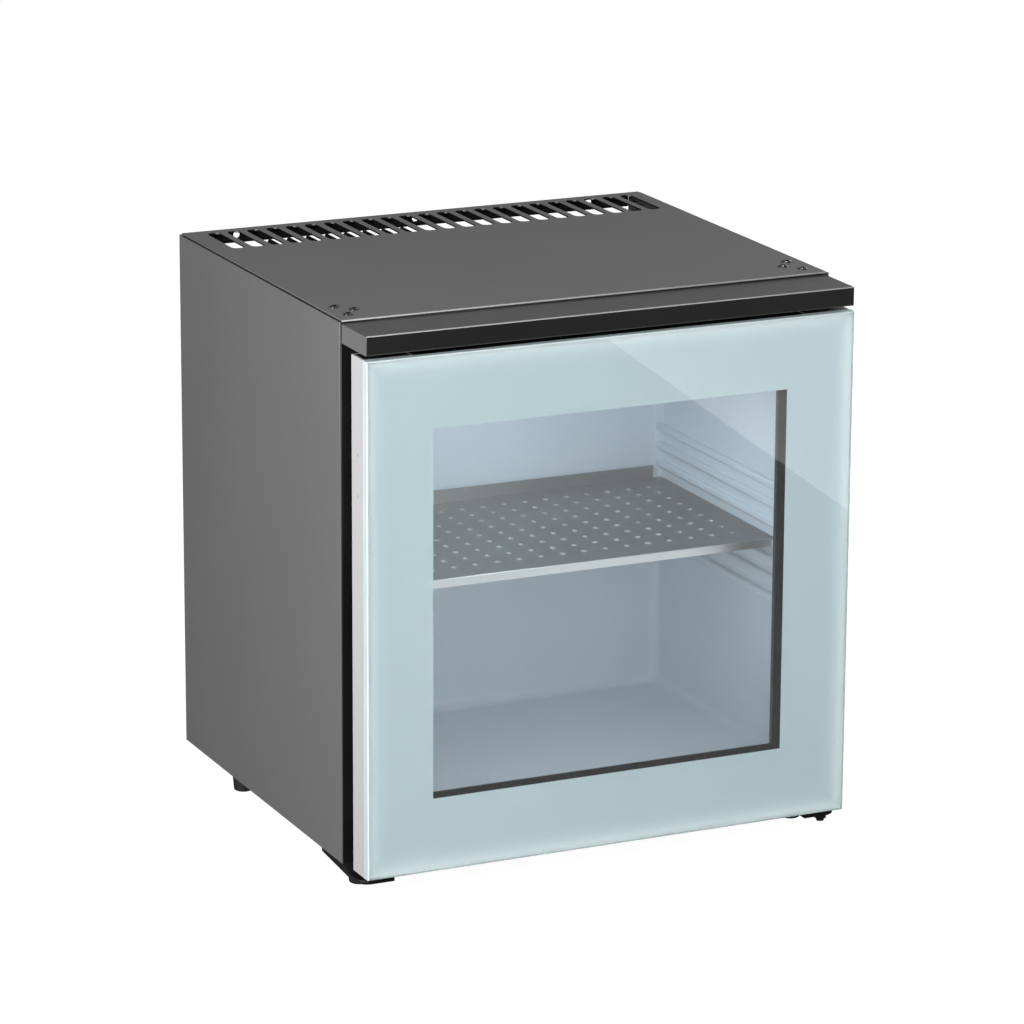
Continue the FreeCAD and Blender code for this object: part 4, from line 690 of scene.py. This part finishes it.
def turned(profile, foot):
    """A shape turned about an upright line, from pairs of a radius and a height above its foot."""
    shape = bmesh.new()
    line = [shape.verts.new((radius, 0, height)) for radius, height in profile]
    line += [shape.edges.new(pair) for pair in zip(line, line[1:])]
    bmesh.ops.spin(shape, geom=line, cent=(0, 0, 0), axis=(0, 0, 1), dvec=(0, 0, 0), angle=math.tau, steps=64,
                   use_merge=True, use_duplicate=False)
    bmesh.ops.remove_doubles(shape, verts=shape.verts, dist=SAME_PLACE)
    bmesh.ops.recalc_face_normals(shape, faces=shape.faces)
    bmesh.ops.translate(shape, vec=foot, verts=shape.verts)
    return shape


def beaded_jacket():
    """The boiler's sheet jacket, with rolled lips and two beads pressed in near each end."""
    low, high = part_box("boiler_jacket")
    radius = (high.x - low.x) / 2
    length = high.z - low.z
    curl = 0.3 * JACKET_LIP
    half = [(0, 0), (radius - JACKET_LIP, 0), (radius - curl, curl), (radius, JACKET_LIP)]
    for start in BEAD_STARTS:
        half += [(radius, start), (radius - BEAD_DEPTH, start + BEAD_WIDTH / 3),
                 (radius - BEAD_DEPTH, start + 2 * BEAD_WIDTH / 3), (radius, start + BEAD_WIDTH)]
    profile = half + [(reach, length - height) for reach, height in reversed(half)]
    shape = turned(profile, ((low.x + high.x) / 2, (low.y + high.y) / 2, low.z))
    return piece(shape, "beaded_boiler_jacket", "cabinet", [jacket_sheet], ["boiler_jacket"], smooth=25)


front_pane()
door_seal()
liner_tub()
beaded_jacket()
screws("upper_bracket_screws", "top_cross_head_screws", (0, 0, -1))
screws("lower_bracket_screws", "lower_cross_head_screws", (0, 0, 1))
screws("fascia_bar_screws", "bar_cross_head_screws", (0, 0, 1))
screws("foot_screws", "foot_cross_head_screws", (0, 0, 1))
screws("cold_plate_screws", "cold_plate_cross_head_screws", (0, 1, 0))
knob()


# Finishes that change from face to face, by the way each face looks

SQUARE_ON = 0.9
FULL_FRONT = 0.98
LEANING = 0.3
ON_AN_EDGE = 0.15


def side_sheet_finish(normal, place):
    """Black painted shade on the cut edge along the top, standing in for the shadow in the seam under the top
    sheet.
    """
    return 1 if normal.z > LEANING else 0


def top_sheet_finish(normal, place):
    """Black painted shade inside the fold and on the cut edges, where only shade falls, and a painted
    highlight along the front edge.
    """
    slot_wall = normal.y < -SQUARE_ON and place.y > 0
    if normal.z < -SQUARE_ON or abs(normal.x) > SQUARE_ON or slot_wall:
        return 1
    return 2 if normal.y < -ON_AN_EDGE and normal.z > ON_AN_EDGE else 0


def lip_finish(normal, place):
    """The shelf's front lip, in a lighter copy of the steel as painted highlight."""
    return 1 if normal.y < -LEANING else 0


def bar_finish(normal, place):
    """A black front under a painted highlight along the edge, ends coated like the cabinet, and the rest in a
    darker copy of the coat as painted shade.
    """
    if normal.y < -FULL_FRONT:
        return 1
    if abs(normal.x) > SQUARE_ON:
        return 3
    return 2 if normal.y < -ON_AN_EDGE and normal.z > ON_AN_EDGE and abs(normal.x) < 0.5 else 0


softened("top_panel", "folded_top_sheet", 0.25, others=[painted_shade_black, painted_highlight_coat], where=top_sheet_finish)
softened("fascia_bar", "black_fronted_bar", 0.3, others=[bar_front, painted_highlight_coat, coat], where=bar_finish)
softened("side_panel_left", "folded_left_sheet", 0.3, others=[painted_shade_black], where=side_sheet_finish)
softened("side_panel_right", "folded_right_sheet", 0.3, others=[painted_shade_black], where=side_sheet_finish)
softened("shelf", "perforated_shelf", 0.2, others=[lip_steel_painted_highlight], where=lip_finish)
softened("lamp_housing", "moulded_lamp_housing", 0.3)
PLAIN_SOFTENED = {
    "front_frame": "moulded_front_frame",
    "inner_frame": "moulded_inner_frame",
    "left_stile": "white_left_stile",
    "right_stile": "white_right_stile",
    "lower_hinge_bracket_left": "bent_bracket_left",
    "lower_hinge_bracket_right": "bent_bracket_right",
    "control_box": "moulded_control_box",
    "power_inlet": "moulded_power_inlet",
}
for plain, dressed in PLAIN_SOFTENED.items():
    softened(plain, dressed, 0.4)


# Studio

ROOM_LIGHT = 0.2
SHINE_SHARE = 0.12
FLOOR_REACH = 8.0
FLOOR_GLOW = 0.98
CARD_SIZE = (0.9, 1.5, 1)
CARD_TURN = math.radians(7.45)
CARD_PLACE = (1.178, -1.592, 1 * MM)
CARD_GLOW = 0.7


def staged(shape, name, finish):
    """Set a worked shape up as part of the studio, not of the object."""
    mesh = bpy.data.meshes.new(name)
    shape.to_mesh(mesh)
    shape.free()
    mesh.materials.append(finish)
    made = bpy.data.objects.new(name, mesh)
    scene.collection.objects.link(made)


def seen_directly(tree):
    """One where a ray comes straight from the camera or through glass, and zero elsewhere."""
    ray = add(tree, "ShaderNodeLightPath").outputs
    return add(tree, "ShaderNodeMath", {0: ray["Is Camera Ray"], 1: ray["Is Transmission Ray"]},
               operation="MAXIMUM").outputs[0]


def floor():
    """A wide floor that takes the shadow, and shows white only where it is seen directly."""
    made, tree, shader, _ = new_finish("pale_studio_floor", "#565656", Roughness=0.9, Specular_IOR_Level=0.0,
                                       Emission_Color=linear("#ffffff"))
    glow = add(tree, "ShaderNodeMapRange", {"Value": seen_directly(tree)}, To_Max=FLOOR_GLOW)
    tree.links.new(glow.outputs["Result"], shader.inputs["Emission Strength"])
    shape = bmesh.new()
    bmesh.ops.create_grid(shape, x_segments=1, y_segments=1, size=FLOOR_REACH)
    staged(shape, "studio_floor", made)


def glass_card():
    """A white card on the floor, out of view to the right, that shows as a slanting shine in the glass."""
    made, _, _, _ = new_finish("white_card", "#ffffff", Roughness=0.9, Emission_Color=linear("#ffffff"),
                               Emission_Strength=CARD_GLOW)
    shape = bmesh.new()
    bmesh.ops.create_grid(shape, x_segments=1, y_segments=1, size=0.5)
    bmesh.ops.scale(shape, vec=CARD_SIZE, verts=shape.verts)
    bmesh.ops.rotate(shape, matrix=Matrix.Rotation(CARD_TURN, 3, "Z"), verts=shape.verts)
    bmesh.ops.translate(shape, vec=CARD_PLACE, verts=shape.verts)
    staged(shape, "white_card", made)


def softbox(name, place, aim, width, height, power):
    """A flat soft lamp that faces a point."""
    lamp = bpy.data.lights.new(name, "AREA")
    lamp.shape = "RECTANGLE"
    lamp.size = width
    lamp.size_y = height
    lamp.energy = power
    made = bpy.data.objects.new(name, lamp)
    made.location = place
    made.rotation_euler = (Vector(aim) - Vector(place)).to_track_quat("-Z", "Y").to_euler()
    scene.collection.objects.link(made)


def lamp_place():
    """Just under the middle of the lamp's lens."""
    low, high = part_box("lamp_lens")
    return Vector(((low.x + high.x) / 2, (low.y + high.y) / 2, low.z - 1 * MM))


def window_place():
    """Just behind the door's inner frame, where daylight that has come through both panes enters."""
    low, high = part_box("inner_frame")
    return Vector((0, high.y + 1 * MM, (low.z + high.z) / 2))


def room():
    """An even pale room, white where it is seen directly or through glass, and softer in metal."""
    world = bpy.data.worlds.new("pale_room")
    scene.world = world
    world.use_nodes = True
    tree = world.node_tree
    ray = add(tree, "ShaderNodeLightPath")
    shine = add(tree, "ShaderNodeMapRange", {"Value": ray.outputs["Is Glossy Ray"]}, To_Max=SHINE_SHARE)
    level = add(tree, "ShaderNodeMath", {0: seen_directly(tree), 1: shine.outputs["Result"]},
                operation="MAXIMUM")
    light = add(tree, "ShaderNodeMapRange", {"Value": level.outputs[0]}, To_Min=ROOM_LIGHT, To_Max=1.0)
    tree.links.new(light.outputs["Result"], tree.nodes["Background"].inputs["Strength"])
    tree.nodes["Background"].inputs["Color"].default_value = linear("#ffffff")


VIEW_PLACE = (-1.5127, -3.261, 1.241)
VIEW_DROP = 15.66
VIEW_TURN = -24.91
VIEW_ROLL = 0.29
VIEW_LENS = 169.96


def camera():
    """The photograph's own view, solved from the cabinet's straight edges."""
    lens = bpy.data.cameras.new("photo_view")
    lens.sensor_width = 36.0
    lens.lens = VIEW_LENS
    lens.clip_end = 50.0
    made = bpy.data.objects.new("photo_view", lens)
    turn = Euler((math.radians(90 - VIEW_DROP), 0, math.radians(VIEW_TURN))).to_matrix()
    roll = Matrix.Rotation(math.radians(VIEW_ROLL), 3, "Z")
    made.matrix_world = Matrix.Translation(VIEW_PLACE) @ (turn @ roll).to_4x4()
    scene.collection.objects.link(made)
    scene.camera = made


floor()
glass_card()
room()
softbox("left_softbox", (-1.3, -0.7, 0.65), (-0.2, -0.05, 0.25), 0.8, 0.8, 31)
softbox("front_softbox", (-0.15, -1.45, 1.1), (0, -0.05, 0.25), 1.0, 1.0, 12)
softbox("rear_softbox", (1.6, 1.0, 0.6), (0.1, 0.1, 0.25), 0.9, 0.9, 24)
softbox("top_softbox", (1.0, 1.4, 2.15), (0, 0, 0.43), 0.15, 0.15, 1.0)
softbox("inside_lamp", lamp_place(), lamp_place() - Vector((0, 0, 1)), 0.05, 0.03, 0.26)
softbox("window_light", window_place(), window_place() + Vector((0, 1, 0)), 0.28, 0.26, 0.15)
camera()
scene.view_settings.view_transform = "Standard"

bpy.context.view_layer.update()
